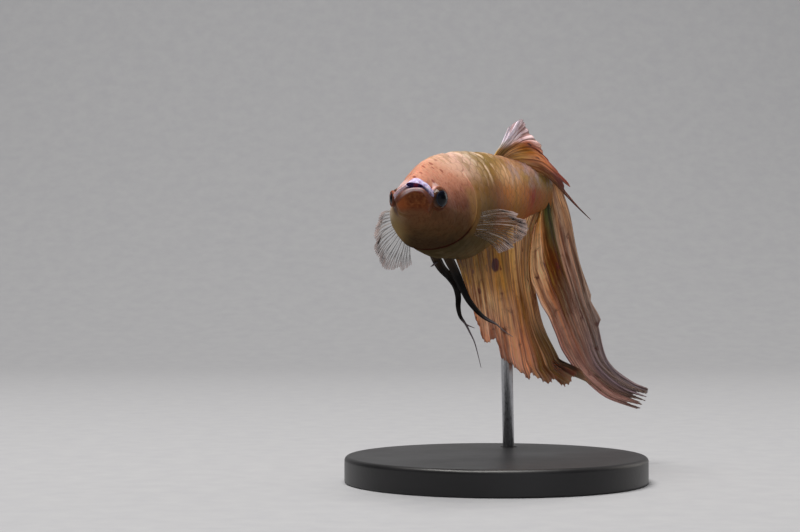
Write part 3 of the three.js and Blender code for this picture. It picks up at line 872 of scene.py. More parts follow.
def caudal_fin(rows=130):
    """top edge + (bottom edge - top edge) * across at each reach, with three deep pleats that open away from
    the root; the top edge steps out to each tuft and drops back behind it."""
    reach, across, ridge = fin_net(CAUDAL, rows)
    run = reach * lerp(1, frayed(CAUDAL, across), smooth(0.75, 1, reach))
    run = run * (1 - RAY_ENDS * (1 - ridge) * smooth(0.9, 1, reach))
    spread = across * ragged(reach, 9, 0.012)
    points = lerp(CAUDAL_TOP(run), CAUDAL_BOTTOM(run), spread[..., None])
    for at, out in CAUDAL_TUFTS:
        step = out * smooth(at - 0.1, at, run) * fall(at, at + 0.012, run) * fall(0, 0.09, across)
        points += step[..., None] * TUFT_WAY
    opened = smooth(0.02, 0.4, reach) * (1 - 0.6 * reach**3)
    swing = CAUDAL["swing"] * smooth(0, 0.1, reach) * (1 - 2 * smooth(0.5, 0.72, reach))
    places = upright(points)
    places[..., 0] = swing + opened * (pleats(CAUDAL, across) * fall(0.8, 1, across) + folds(CAUDAL, across))
    return fin_sheet("fin_caudal", places, across, reach, ridge, "caudal_fin")


caudal = caudal_fin()

# %% [markdown]
# ## Dorsal fin
# The dorsal fin sits far back, leans to the left and trails off in a dark thread. The skin before the last
# ray is torn away, so that ray flies free.

# %% Raise the dorsal fin
DORSAL = {
    "from": 30, "to": 34.2, "root": -0.7, "arch": 3.3, "lean": 1.9, "pleats": 2.5, "pleat": 0.4, "fold": 0.1,
    "rays": 12, "columns": 12, "fray": (0.03, 11, 0.3),
}
DORSAL_TIPS = through_points([
    (34.4, 9.4), (37.6, 10.4), (39.9, 9.5), (41, 8), (43.9, 6.2), (47.4, 4.4), (50.9, 1.6), (55.6, -3),
])


def dorsal_fin(rows=90):
    """root + (tip - root) * reach, arched up in the middle and leaning with reach."""
    reach, across, ridge = fin_net(DORSAL, rows)
    torn = 1 - 0.22 * smooth(0.86, 0.9, across) * fall(0.95, 0.965, across)
    edge = torn * lerp(frayed(DORSAL, across), 1, smooth(0.94, 0.96, across))
    run = reach * lerp(1, edge, smooth(0.2, 1, reach))
    root_along = lerp(DORSAL["from"], DORSAL["to"], across)
    root = straight(0, root_along, back(root_along) + DORSAL["root"])
    thread = smooth(0.95, 0.965, across) * smooth(0.5, 0.95, reach)
    tip = upright(DORSAL_TIPS(1 - (1 - across) * (1 - 0.7 * thread)))
    places = lerp(root, tip, run[..., None])
    arch = DORSAL["arch"] * across**1.3 * (1 - 0.5 * smooth(0.65, 1, across))
    places[..., 2] += arch * np.sin(np.pi * run**0.9)
    places[..., 0] += reach * (pleats(DORSAL, across) + folds(DORSAL, across))
    places[..., 0] += DORSAL["lean"] * smooth(0.05, 0.5, reach) * (0.2 + 0.8 * across)
    return fin_sheet("fin_dorsal", places, across, reach, ridge, "dorsal_fin")


dorsal = dorsal_fin()

# %% [markdown]
# ## Pectoral fins
# These are the paddles that hold the fish still: clear skin on about a dozen rays, spread like a hand. The
# rays are curved and run on past the skin as a fringe.

# %% Spread the pectoral fins
PECTORAL = {
    "along": 14.4, "level": -4.5, "base": 2.1, "root": 4.1, "pleats": 3, "pleat": 0.22, "fold": 0.11,
    "rays": 12, "columns": 12, "fray": (0.05, 21, 0.2), "fringe": 0.13, "sweep": 0.6,
}
PECTORAL_POSES = {
    "left": {"upper": 29, "lower": -6, "length": 8.3, "out": 0.68, "back": 0.73, "droop": 2, "shift": 0.1,
             "spread": 0.9},
    "right": {"upper": 26, "lower": -78, "length": 7.4, "out": 0.95, "back": 0.2, "droop": 2.4, "shift": 0.36,
              "spread": 0.6},
}


def pectoral_fin(name, side, rows=80):
    """base + way * ray * reach, where way turns from the upper to the lower angle across the fin, and the
    rays are longest in the middle; each droops and sweeps back with the square of its reach."""
    pose = PECTORAL_POSES[name]
    reach, across, ridge = fin_net(PECTORAL, rows, width=0.07)
    angle = np.radians(lerp(pose["upper"], pose["lower"], across))
    ray = pose["length"] * (0.5 + 0.5 * np.sin(np.pi * (pose["shift"] + pose["spread"] * across)))
    ray = ray * frayed(PECTORAL, across) * (1 - PECTORAL["fringe"] * (1 - ridge) * smooth(0.7, 1, reach))
    way = straight(side * pose["out"] * np.cos(angle), pose["back"] * np.cos(angle), np.sin(angle))
    way[..., 1] += 0.25 * np.abs(np.sin(angle))
    base_level = PECTORAL["level"] + PECTORAL["base"] * (0.5 - across)
    places = straight(side * PECTORAL["root"], PECTORAL["along"], base_level) + way * (ray * reach)[..., None]
    waves = pleats(PECTORAL, across) * reach
    places[..., 1] += PECTORAL["sweep"] * reach**2 + waves + folds(PECTORAL, across) * smooth(0, 0.4, reach)
    places[..., 2] -= pose["droop"] * (np.cos(angle) * reach) ** 2
    node = f"pectoral_fin_{name}"
    return fin_sheet(f"fin_pectoral_{name}", places, across, reach, ridge, node, 0.8)


pectorals = [pectoral_fin("left", 1), pectoral_fin("right", -1)]

# %% [markdown]
# ## Pelvic fins
# A betta's pelvic fins are two dark straps under the throat, each a few rays bound together, that narrow and
# end in pale threads. Each strap is an oval section carried along a path, with threads that leave its end.

# %% Carry a section along a path
STRAP_FACING = (-0.45, 0.89, 0)  # the straps' flat sides look to the front left
GROOVE_DEPTH = 0.22  # the share of a strap's half width


def strap(path, widths, depths, grooves=0, count=70, around=28):
    """Rings round a path: across * width * cos + normal * depth * sin, grooved between the rays. Gives the
    points, the faces and (around, along, groove) for the material."""
    t = np.linspace(0, 1, count)
    centre = path(t)
    forward = unit(np.gradient(centre, axis=0))
    across = unit(np.cross(forward, STRAP_FACING))
    normal = np.cross(across, forward)
    about = np.linspace(0, 2 * np.pi, around, endpoint=False)[None, :]
    groove = 1 - GROOVE_DEPTH * np.abs(np.sin(grooves * about)) ** 4 if grooves else np.ones_like(about)
    width, depth = widths(t)[:, None], depths(t)[:, None]
    places = centre[:, None] + across[:, None] * (width * groove * np.cos(about))[..., None]
    places = places + normal[:, None] * (depth * groove * np.sin(about))[..., None]
    marks = np.stack(np.broadcast_arrays(about / (2 * np.pi), t[:, None], groove), -1)
    points = np.vstack([flat(places), centre[:1], centre[-1:]])
    marks = np.vstack([flat(marks), [[0, 0, 1], [0, 1, 1]]])
    return points, ring_faces(count, around), marks


def joined(name, parts):
    """Several (points, faces, marks) as one object."""
    points, nets, marks = zip(*parts)
    starts = np.cumsum([0] + [len(part) for part in points])
    faces = [[corner + start for corner in face] for net, start in zip(nets, starts) for face in net]
    return new_object(name, bend(np.vstack(points)), faces, {"fin": np.vstack(marks)})


# %% Hang the pelvic fins
PELVIC_PATHS = {
    "left": [
        (0.6, 14.6, -7.6), (0.6, 16.1, -8.9), (0.8, 17.3, -10.3), (1.2, 17.6, -11.4), (1.7, 17.8, -12.6),
        (2.2, 18.3, -13.9), (2.6, 19.8, -15.2), (2.9, 21.7, -16.2), (3.2, 24.3, -17),
    ],
    "right": [
        (-1.1, 14.8, -7.8), (-1.1, 16, -8.9), (-1.1, 17.4, -9.9), (-1.05, 19.4, -10.9), (-1, 21.1, -12.1),
        (-0.9, 21.6, -13.5), (-0.8, 21.4, -14.8), (-0.7, 21.8, -16), (-0.5, 22.9, -17),
    ],
}
PELVIC_THREADS = {  # most start along the last points of their strap
    "left": [
        [(2.6, 19.8, -15.2), (2.9, 21.7, -16.2), (3.2, 24.3, -17), (3.2, 26.6, -17.9), (3.3, 29.3, -18.8)],
    ],
    "right": [
        [(-0.7, 21.8, -16), (-0.5, 22.9, -17), (-0.4, 24.1, -18.2), (-0.2, 25.2, -19.7), (0.1, 26.4, -22.8)],
        [(-0.7, 21.8, -16), (-0.5, 22.9, -17), (-0.3, 25.2, -17.6)],
        [(-1.1, 16, -8.9), (-1.2, 15, -9.4), (-1.3, 14.5, -9.6)],
    ],
}


def strap_width(t):
    """Half the width in mm, widest just past the root: 0.12 + 0.56 * (1 - t^0.9)^0.7 * a soft step."""
    return 0.12 + 0.56 * (1 - t**0.9) ** 0.7 * smooth(-0.4, 0.15, t)


def strap_depth(t):
    """Half the depth in mm, from 0.3 at the root to 0.1."""
    return 0.1 + 0.2 * (1 - t)


def thread_radius(t):
    """From 0.185 mm to 0.035."""
    return 0.15 * (1 - t) + 0.035


def pelvic_fin(name):
    """A strap that narrows to its end, and its threads."""
    parts = [strap(through_points(PELVIC_PATHS[name]), strap_width, strap_depth, grooves=3)]
    for thread in PELVIC_THREADS[name]:
        path = through_points(thread)
        points, faces, marks = strap(path, thread_radius, thread_radius, count=40, around=10)
        marks[:, 1] = 1 + marks[:, 1]
        parts.append((points, faces, marks))
    made = joined(f"fin_pelvic_{name}", parts)
    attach(made, "root")
    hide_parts(f"pelvic_fin_{name}")
    return made


pelvics = [pelvic_fin("left"), pelvic_fin("right")]

# %% [markdown]
# ## Finishes
# Each finish is a small recipe of nodes that ends in one Principled shader. The recipes share a helper that
# adds nodes and joins them. Colours are in hex, and a ramp is one line of positions in hundredths and
# colours.

# %% A helper for node recipes
def colour(code):
    """A hex colour as linear red, green, blue and alpha."""
    value = np.array([int(code[i:i + 2], 16) for i in (0, 2, 4)]) / 255
    linear = np.where(value > 0.04045, ((value + 0.055) / 1.055) ** 2.4, value / 12.92)
    return (*linear.tolist(), 1)


class Recipe:
    """The nodes of one material, ending in its Principled shader."""

    def __init__(self, name):
        self.material = bpy.data.materials.new(name)
        self.material.use_nodes = True
        self.tree = self.material.node_tree
        self.shader = self.tree.nodes["Principled BSDF"]

    def put(self, socket, value):
        """Joins a socket to another, or sets it to a number, a vector or a hex colour."""
        if isinstance(value, bpy.types.NodeSocket):
            self.tree.links.new(value, socket)
        else:
            socket.default_value = colour(value) if isinstance(value, str) else value

    def node(self, kind, inputs, **settings):
        """Adds a node; inputs are sockets to join or values to set."""
        made = self.tree.nodes.new(f"ShaderNode{kind}")
        for key, value in settings.items():
            setattr(made, key, value)
        for key, value in inputs.items():
            self.put(made.inputs[key], value)
        return made

    def math(self, operation, *values):
        """One step of arithmetic."""
        return self.node("Math", dict(enumerate(values)), operation=operation).outputs[0]

    def scaled(self, value, factor, plus=0.0):
        """value * factor + plus"""
        return self.math("MULTIPLY_ADD", value, factor, plus)

    def stirred(self, value, noise, amount):
        """value + amount * (noise - 0.5)"""
        return self.math("ADD", value, self.scaled(noise, amount, -amount / 2))

    def length(self, one, other):
        """The root of the summed squares."""
        squares = [self.math("POWER", part, 2) for part in (one, other)]
        return self.math("SQRT", self.math("ADD", *squares))

    def rise(self, value, low, high):
        """0 at low, 1 at high, with a soft step between."""
        inputs = {"Value": value, "From Min": low, "From Max": high}
        return self.node("MapRange", inputs, interpolation_type="SMOOTHSTEP").outputs[0]

    def band(self, value, centre, half, soft):
        """1 within half of centre, fading over soft on both sides."""
        away = self.math("ABSOLUTE", self.math("SUBTRACT", value, centre))
        return self.math("SUBTRACT", 1, self.rise(away, half, half + soft))

    def all_of(self, *shares):
        """The product of several shares."""
        product = shares[0]
        for share in shares[1:]:
            product = self.math("MULTIPLY", product, share)
        return product

    def mix(self, share, one, other, kind="MIX"):
        """The other colour over the one, by the share."""
        made = self.node("Mix", {0: share, 6: one, 7: other}, data_type="RGBA", blend_type=kind)
        return made.outputs[2]

    def paint(self, base, shade, *shares, kind="MIX"):
        """A shade over a base, by the product of the shares."""
        return self.mix(self.all_of(*shares), base, shade, kind)

    def ramp(self, value, stops):
        """Colours at positions, written as "10 ff8000, 50 804000"."""
        pairs = [stop.split() for stop in stops.split(",")]
        made = self.node("ValToRGB", {"Fac": value})
        keys = made.color_ramp.elements
        for key, (place, shade) in zip(keys, (pairs[0], pairs[-1])):
            key.position, key.color = int(place) / 100, colour(shade)
        for place, shade in pairs[1:-1]:
            keys.new(int(place) / 100).color = colour(shade)
        return made.outputs[0]

    def attribute(self, name):
        """A vector attribute and its three parts."""
        vector = self.node("Attribute", {}, attribute_name=name).outputs["Vector"]
        return vector, *self.node("SeparateXYZ", {0: vector}).outputs

    def stretched(self, vector, *scale):
        """The vector times a scale, part by part."""
        return self.node("Mapping", {"Vector": vector, "Scale": scale}).outputs[0]

    def noise(self, vector, scale, detail=3.0, roughness=0.55):
        """Cloudy noise about 0.5; a higher scale makes it finer."""
        inputs = {"Vector": vector, "Scale": scale, "Detail": detail, "Roughness": roughness}
        return self.node("TexNoise", inputs).outputs[0]

    def spots(self, vector, scale, radius, soft):
        """1 inside round spots, one for each cell of a Voronoi pattern."""
        away = self.node("TexVoronoi", {"Vector": vector, "Scale": scale}).outputs["Distance"]
        return self.math("SUBTRACT", 1, self.rise(away, radius, radius + soft))

    def bump(self, height, distance, strength=1.0):
        """A normal leaned by the slope of height * distance, in metres."""
        inputs = {"Height": height, "Distance": distance, "Strength": strength}
        return self.node("Bump", inputs).outputs[0]

    def finish(self, inputs):
        """Sets the shader's inputs and gives the material."""
        for key, value in inputs.items():
            self.put(self.shader.inputs[key], value)
        print(f"{self.material.name}: {len(self.tree.nodes)} nodes")
        return self.material


# %% [markdown]
# ## Markings
# The fish is a marbled salmon-orange: a bright crown, brown-pink cheeks and jaw, lilac-white lips, and a
# cream flank with olive and orange streaks that darkens to the tail and under the throat. The skin and the
# scales on it share one set of markings, read from each point's place on the straight fish, in millimetres.
# Each mark is a shade painted over the last by a product of soft steps.

# %% Read where a point is
def body_places(recipe):
    """The parts of three attributes, two noises over them, and the level stirred by one of these."""
    at = SimpleNamespace()
    at.place, at.side, at.along, at.level = recipe.attribute("place")
    _, at.over, at.out, at.gape = recipe.attribute("mouth")
    _, at.gill, _, at.from_eye = recipe.attribute("head")
    at.blotch = recipe.noise(at.place, 0.5, 4.0)
    at.fine = recipe.noise(at.place, 2.4, 4.0)
    at.height = recipe.stirred(at.level, at.blotch, 2.4)
    at.front = recipe.rise(at.along, 3.2, 2.4)
    return at


# %% Colour the head
HEAD_LEVELS = (-9, 5)  # mm, the ends of the ramp
HEAD_SHADES = (
    "10 3a2b1e, 18 3e2f21, 24 4f3b27, 33 60442e, 42 6a462e, 50 643626, 56 784634, 61 8c5844, 68 ac705a, "
    "78 c48a72, 86 c68a70, 96 b8886c"
)


def head_colour(recipe, at):
    """A ramp up the head, then rosy blotches, tawny gill edges, a paler right cheek, jaw and eye bags."""
    rise, paint = recipe.rise, recipe.paint
    low, high = HEAD_LEVELS
    head = recipe.ramp(recipe.scaled(at.height, 1 / (high - low), -low / (high - low)), HEAD_SHADES)
    head = paint(head, "b48070", rise(at.fine, 0.48, 0.62), 0.3, kind="MULTIPLY")
    head = paint(head, "c0745c", rise(at.blotch, 0.5, 0.4), rise(at.height, 0.5, 2.0), 0.5)
    tawny = [rise(at.along, 11.5, 13.5), rise(at.height, 1.0, -0.6), rise(at.level, -5.5, -3.0)]
    head = paint(head, "946c42", *tawny, 0.8)
    far_cheek = [rise(at.side, -0.8, -4.2), rise(at.height, -1.6, -3.0), rise(at.level, -7.4, -5.4)]
    head = paint(head, "9c845a", *far_cheek, 0.85)
    pale_cheek = [rise(at.side, -2.6, -4.2), rise(at.along, 5.2, 7.0), rise(at.level, -4.4, -3.0)]
    head = paint(head, "c8b098", *pale_cheek, 0.8)
    jaw = recipe.ramp(at.fine, "35 58290f, 50 6c381a, 66 7e4a28")
    jaw = paint(jaw, "a0562a", rise(at.side, -0.4, -1.8), 0.7)
    head = paint(head, jaw, rise(at.over, -0.7, -1.0), at.front, rise(at.level, -3.2, -2.2))
    return paint(head, "4a2412", recipe.band(at.from_eye, 1.75, 0.25, 0.5), rise(at.level, -1.9, -2.5), 0.6)


# %% Colour the flank
FLANK_LEVELS = (0.0, 2.5, 4.6)  # mm, where the second ramp and those after it are full
FLANK_SHADES = (  # from the belly up, at hundredths of the body's length
    "27 886238, 33 72532a, 38 6e4a10, 45 7d420e, 53 945312, 62 965e14, 72 945312, 80 994410, 90 87511c",
    "27 a37752, 33 865d2c, 38 774b12, 45 82430e, 53 bf6c1a, 62 c67c2a, 72 b6601a, 78 95270a, 88 9c5a1c",
    "27 c99c87, 33 bb9580, 38 a4835d, 45 8a6022, 53 d09d6e, 62 d39a6c, 72 ae8143, 78 9c6f50, 88 987835",
    "27 d0a38e, 33 cca395, 38 c3a995, 45 7a6335, 53 8c6a3b, 62 9c704f, 72 a8785b, 80 e5ada2",
)
LEVEL_BLEND = 2.4  # mm
BREAST_SHADES = "20 342a18, 30 4a3e2a, 40 5e4c32, 55 7a5c32"


def flank_colour(recipe, at):
    """Ramps along the body, one for each level, with olive and cream streaks, a haze and a dark breast."""
    rise, paint = recipe.rise, recipe.paint
    streak = recipe.noise(recipe.stretched(at.place, 0.25, 0.85, 0.1), 1.0, 3.0)
    shifted = recipe.scaled(recipe.stirred(at.along, streak, 7.0), 1 / BODY_LENGTH)
    flank = recipe.ramp(shifted, FLANK_SHADES[0])
    for high, stops in zip(FLANK_LEVELS, FLANK_SHADES[1:]):
        flank = paint(flank, recipe.ramp(shifted, stops), rise(at.height, high - LEVEL_BLEND, high))
    flank = paint(flank, "70581c", rise(streak, 0.52, 0.62), rise(at.level, -3, 0), 0.4)
    cream = [rise(streak, 0.46, 0.36), rise(at.along, 36, 28), rise(at.along, 11, 15), rise(at.level, 0, 3)]
    flank = paint(flank, "e4c0a4", *cream, 0.65)
    hazy = [rise(at.blotch, 0.5, 0.62), rise(at.level, 0.5, 2.5), rise(at.along, 26, 32)]
    flank = paint(flank, "a68c92", *hazy, 0.5)
    return paint(flank, recipe.ramp(shifted, BREAST_SHADES), rise(at.level, -3.6, -6.6))


# %% Mix the markings
def lip_colours(recipe, at, base):
    """The lilac upper lip, the greyish lower one, a painted shadow in the crease between them and the inside
    of the mouth.
    """
    rise, band, paint = recipe.rise, recipe.band, recipe.paint
    worn = recipe.scaled(rise(at.fine, 0.3, 0.5), 0.4, 0.6)
    upper_lip = [rise(at.over, 1.05, 0.8), rise(at.over, 0.0, 0.14), rise(at.out, 1.1, 0.85)]
    base = paint(base, recipe.ramp(at.fine, "32 8d86b4, 50 b6add4, 66 dcd4e8"), *upper_lip, worn, at.front)
    pale_side = [rise(at.side, -0.5, -1.2), rise(at.over, -0.3, 0.1), rise(at.level, 1.4, 0.4), at.front]
    base = paint(base, "d0b4b2", *pale_side, 0.75)
    lower_lip = [band(at.over, -0.45, 0.14, 0.22), rise(at.out, 0.62, 0.18)]
    base = paint(base, "ccb9ba", *lower_lip, worn, at.front, 0.9)
    # A dark line along the mouth's line: painted shadow in the crease between the lips.
    shade = [band(at.over, 0.0, 0.08, 0.2), rise(at.out, 0.95, 0.6), rise(at.side, -1.5, -0.7), at.front]
    base = paint(base, "3e2c48", *shade, 0.8)
    inside = recipe.mix(band(at.side, 0.15, 0.08, 0.4), "54447a", "a04862")
    return paint(base, inside, rise(at.gape, 0.0, 0.3))


def markings(recipe):
    """The head's colours up to the gill cover's edge, the flank's behind it, and all that lies on both."""
    rise, band, paint = recipe.rise, recipe.band, recipe.paint
    at = body_places(recipe)
    covered = recipe.mix(rise(at.level, 0.2, 3.0), rise(at.gill, -0.05, 0.1), rise(at.gill, -4.0, 0.0))
    base = paint(head_colour(recipe, at), flank_colour(recipe, at), covered)
    base = paint(base, "a87c3a", band(at.gill, -0.16, 0.05, 0.12), band(at.level, -2.8, 1.4, 1.2), 0.7)
    # A dark red line just behind the gill covers' lower edge: partly the red gill membrane, partly painted
    # shadow under the covers' free edge.
    base = paint(base, "2a0c0a", band(at.gill, 0.12, 0.3, 0.25), rise(at.level, -3.4, -5.2))
    # A dark brown ring round each eye: painted shade in the socket's rolled rim.
    base = paint(base, "4a2718", band(at.from_eye, 1.62, 0.12, 0.35), 0.7)
    # A pale band over the top of each eye: partly the lid's own pale skin, partly a painted highlight along
    # the brow.
    base = paint(base, "d4aca4", band(at.from_eye, 1.7, 0.2, 0.4), rise(at.level, -1.1, -0.3), 0.8)
    crown = [rise(at.blotch, 0.4, 0.5), rise(at.along, 14.0, 10.0), rise(at.level, -1.6, -0.6)]
    base = paint(base, "7a3630", recipe.spots(at.place, 0.7, 0.15, 0.14), *crown, 0.75)
    return lip_colours(recipe, at, base)


# %% Skin and scale finishes
def lit_above(recipe, most):
    """A share that falls from most on the upper body to nothing on the belly."""
    return recipe.scaled(recipe.rise(recipe.attribute("place")[3], -5, 0), most)


def skin_finish():
    """Moist skin: satin, with fine pores."""
    recipe = Recipe("fish_skin")
    place = recipe.attribute("place")[0]
    return recipe.finish({
        "Base Color": markings(recipe),
        "Roughness": recipe.scaled(recipe.noise(place, 1.5), 0.3, 0.35),
        "Normal": recipe.bump(recipe.noise(place, 7.0, 4.0), 0.00003, 0.5),
        "Subsurface Weight": 0.12,
        "Subsurface Scale": 0.0012,
        "Specular IOR Level": lit_above(recipe, 0.12),
    })


def scale_finish():
    """The markings again, a little different on each scale, with a dark rear rim and fine growth rings."""
    recipe = Recipe("fish_scales")
    _, across, behind, draw = recipe.attribute("scale")
    away = recipe.length(across, behind)
    base = recipe.paint(markings(recipe), "c9a88c", draw, 0.05)
    rear = recipe.scaled(recipe.rise(recipe.attribute("place")[2], 9, 18), 0.3, 0.06)
    base = recipe.paint(base, "4a2f1c", recipe.rise(away, 0.7, 1.0), recipe.rise(behind, -0.1, 0.4), rear)
    return recipe.finish({
        "Base Color": base,
        "Roughness": recipe.scaled(draw, 0.12, 0.34),
        "Normal": recipe.bump(recipe.math("SINE", recipe.scaled(away, 42)), 0.000008, 0.35),
        "Subsurface Weight": 0.08,
        "Subsurface Scale": 0.0012,
        "Specular IOR Level": lit_above(recipe, 0.05),
    })


def cover(pieces, material):
    """Gives several pieces one material."""
    for piece in pieces:
        piece.data.materials.append(material)


cover([skin], skin_finish())
cover(coats, scale_finish())

# %% Eye finish
def eye_finish():
    """Black-blue pupil, dark iris with a brown rim and fine spokes, under a wet clear coat."""
    recipe = Recipe("fish_eye")
    _, angle, about, _ = recipe.attribute("eye")
    circle = recipe.node("CombineXYZ", {0: recipe.math("SINE", about), 1: recipe.math("COSINE", about)})
    share = recipe.stirred(recipe.scaled(angle, 1 / 90), recipe.noise(circle.outputs[0], 9.0), 0.05)
    return recipe.finish({
        "Base Color": recipe.ramp(
            share, "0 04050a, 40 070913, 43 20283a, 46 1c120d, 54 3c2418, 64 5e3a26, 80 4a2c1c"),
        "Roughness": 0.25,
        "Specular IOR Level": 0.1,
        "Coat Weight": 0.2,
        "Coat Roughness": 0.04,
    })


cover(eyeballs, eye_finish())

# %% [markdown]
# ## Fin colours
# The long fins change colour from ray to ray and again from root to edge, in streaks that follow the rays. A
# few ramps hold the colours from the front ray to the rear one, each at its own reach, and fade into each
# other on the way out; noise drawn out along the rays breaks them up.

# %% Finish the long fins
def long_fin_finish(name, size, shades, tips, patches=(), edge_from=0.95):
    """size is (width, length) in mm; shades are (reach, ramp from front to rear) in turn from root to edge;
    patches are (across, reach, half width, half length, hex, strength) in mm about a point."""
    recipe = Recipe(name)
    rise, paint = recipe.rise, recipe.paint
    fin, across, reach, ridge = recipe.attribute("fin")
    wide, long = size
    sized = recipe.stretched(fin, wide, long, 0)
    streak = recipe.noise(recipe.stretched(fin, wide * 1.4, long * 0.09, 0), 1.0, 4.0, 0.6)
    broad = recipe.noise(recipe.stretched(fin, wide * 0.25, long * 0.12, 0), 1.0, 2.0)
    grain = recipe.noise(recipe.stretched(fin, wide * 9, long * 0.7, 0), 1.0, 3.0)
    mottle = recipe.noise(sized, 0.9, 4.0, 0.6)
    shifted = recipe.stirred(across, broad, 0.1)
    drifted = recipe.stirred(reach, streak, 0.3)
    base = recipe.ramp(shifted, shades[0][1])
    for (above, _), (below, stops) in zip(shades[:-1], shades[1:]):
        base = paint(base, recipe.ramp(shifted, stops), rise(drifted, above, below))
    base = paint(base, "a07c70", rise(streak, 0.5, 0.58), 0.75, kind="MULTIPLY")
    base = paint(base, base, rise(streak, 0.5, 0.4), 0.8, kind="ADD")
    base = paint(base, "a8887c", recipe.scaled(ridge, -0.3, 0.3), kind="MULTIPLY")
    base = paint(base, "a07c70", rise(mottle, 0.5, 0.75), 0.4, kind="MULTIPLY")
    base = paint(base, "4a181c", recipe.spots(sized, 0.42, 0.16, 0.14), rise(mottle, 0.48, 0.6), 0.75)
    base = paint(base, tips, rise(recipe.stirred(reach, streak, 0.1), edge_from, 1.0), 0.7)
    for at, down, half_width, half_length, shade, strength in patches:
        aside = recipe.scaled(across, wide / half_width, -at * wide / half_width)
        below = recipe.scaled(reach, long / half_length, -down * long / half_length)
        away = recipe.stirred(recipe.length(aside, below), mottle, 0.8)
        base = paint(base, shade, rise(away, 1.1, 0.75), strength)
    thin = recipe.all_of(recipe.math("SUBTRACT", 1, ridge), rise(reach, 0.3, 1.0))
    return recipe.finish({
        "Base Color": base,
        "Roughness": recipe.scaled(mottle, 0.25, 0.35),
        "Alpha": recipe.scaled(thin, -0.14, 1.0),
        "Normal": recipe.bump(grain, 0.00003, 0.6),
        "Subsurface Weight": 0.25,
        "Subsurface Radius": (1.0, 0.8, 0.65),
        "Subsurface Scale": 0.001,
        "Specular IOR Level": 0.06,
    })


# %% Colour the anal fin
ANAL_SHADES = [
    (0.15, "0 5a3a10, 15 6c4618, 25 7c5414, 38 744810, 50 9c6820, 62 c08a40, 75 e4b080, 90 ffc890"),
    (0.35, "0 8c6210, 12 a06a28, 21 b08044, 33 96602a, 46 b07a36, 55 a86c1e, 68 c89058, 82 dc9c5c, "
     "95 ffd8a0"),
    (0.55, "0 a87038, 10 d49c6a, 30 d8a474, 50 d49468, 63 b3743d, 71 8e5620, 80 84542e, 90 c08a5c, "
     "100 b08868"),
    (0.8, "0 c06a3c, 20 f0aa84, 35 e8a078, 50 e08a60, 63 d8845a, 71 96582a, 80 a8744c, 90 74502e, "
     "100 503c2c"),
    (0.98, "0 d88454, 20 ee9068, 45 ec9876, 60 e08c60, 71 955420, 80 5c3010, 90 4a2c14, 100 3a2c24"),
]
ANAL_SPOTS = [
    (0.413, 0.235, 0.95, 0.9, "30101c", 0.95), (0.163, 0.248, 0.35, 0.5, "48201c", 0.8),
    (0.207, 0.45, 0.3, 0.5, "5a2420", 0.8), (0.3, 0.24, 0.3, 0.6, "5a2c10", 0.7),
]
cover([anal], long_fin_finish("anal_fin_skin", (24, 17), ANAL_SHADES, "8c4c38", ANAL_SPOTS))

# %% Colour the tail fin
# Near the root, about a third of the way across, the dark green band is painted shade in the gap where the
# anal fin's last rays meet the tail fin.
CAUDAL_SHADES = [
    (0.1, "0 6c4c38, 11 a3724a, 18 c8966e, 24 6c5830, 28 1e301a, 48 34441f, 53 8a6430, 64 d8a45c, "
     "82 d89040, 100 eda976"),
    (0.28, "0 7c563c, 8 c08c64, 17 dca47c, 24 785c3c, 28 222c16, 46 443c24, 50 5c3818, 55 ec9c58, "
     "64 ffb880, 80 ffcc98, 100 f4b87c"),
    (0.43, "5 9c806a, 18 b07c68, 26 a07058, 36 6c4c30, 44 643616, 54 88481c, 68 7c3614, 76 8c4618, "
     "83 e0a078, 92 e8a878, 100 dcb0a0"),
    (0.6, "10 8a746c, 20 7c5c58, 30 a07c6c, 46 b08878, 54 885440, 70 a87464, 77 b88068, 90 b07468, "
     "100 c8948a"),
    (0.78, "10 8a7c82, 25 827078, 40 7c6a72, 54 846864, 70 b08278, 82 cc988a, 100 b88884"),
]
cover([caudal], long_fin_finish("tail_fin_skin", (14, 36), CAUDAL_SHADES, "4c3c3a", edge_from=0.93))

# %% Colour the dorsal fin
DORSAL_SHADES = [
    (0.2, "0 c09850, 15 986c3d, 35 80602f, 50 9c7444, 65 cc9462, 80 b88440, 100 b07a40"),
    (0.38, "0 d0c4b8, 20 dcd0dc, 33 f4d8d8, 43 c88858, 60 b66b20, 78 aa6520, 86 c07e58, 100 8a5a30"),
    (0.55, "0 f4e8fc, 15 fff0ff, 30 fff0fa, 42 f0c8cc, 50 b8603c, 62 a85c3c, 75 c07440, 88 b66a40, "
     "100 6c3c18"),
    (0.85, "0 f0e4f4, 20 fce0ec, 46 e0b8b4, 55 d08c78, 66 a85040, 86 9c4838, 95 5c3430, 100 34201c"),
]
DORSAL_SPOTS = [(0.56, 0.6, 0.55, 0.5, "2e0f1c", 0.9)]
cover([dorsal], long_fin_finish("dorsal_fin_skin", (13, 10), DORSAL_SHADES, "4a2420", DORSAL_SPOTS, 0.97))

# %% Finish the clear fins and the dark ones
def clear_fin_finish():
    """Clear skin with grey-lilac rays streaked dark brown to near white, the white partly painted highlights;
    whiter and pinker at the fringe.
    """
    recipe = Recipe("clear_fin_skin")
    fin, _, reach, ridge = recipe.attribute("fin")
    streak = recipe.noise(recipe.stretched(fin, 16, 1.2, 0), 1.0, 3.0)
    # The rays are streaked from dark brown to near white; the near-white streaks are partly painted
    # highlights along the rays.
    ray = recipe.ramp(streak, "38 16110e, 48 443830, 55 8c8078, 63 e6e0de")
    fringe = recipe.paint(ray, "d8c0bc", recipe.rise(reach, 0.7, 1.0))
    return recipe.finish({
        "Base Color": recipe.mix(ridge, "8a7c74", fringe),
        "Roughness": 0.3,
        "Alpha": recipe.scaled(recipe.rise(ridge, 0.2, 0.85), 0.52, 0.06),
        "Coat Weight": 0.3,
        "Coat Roughness": 0.1,
    })


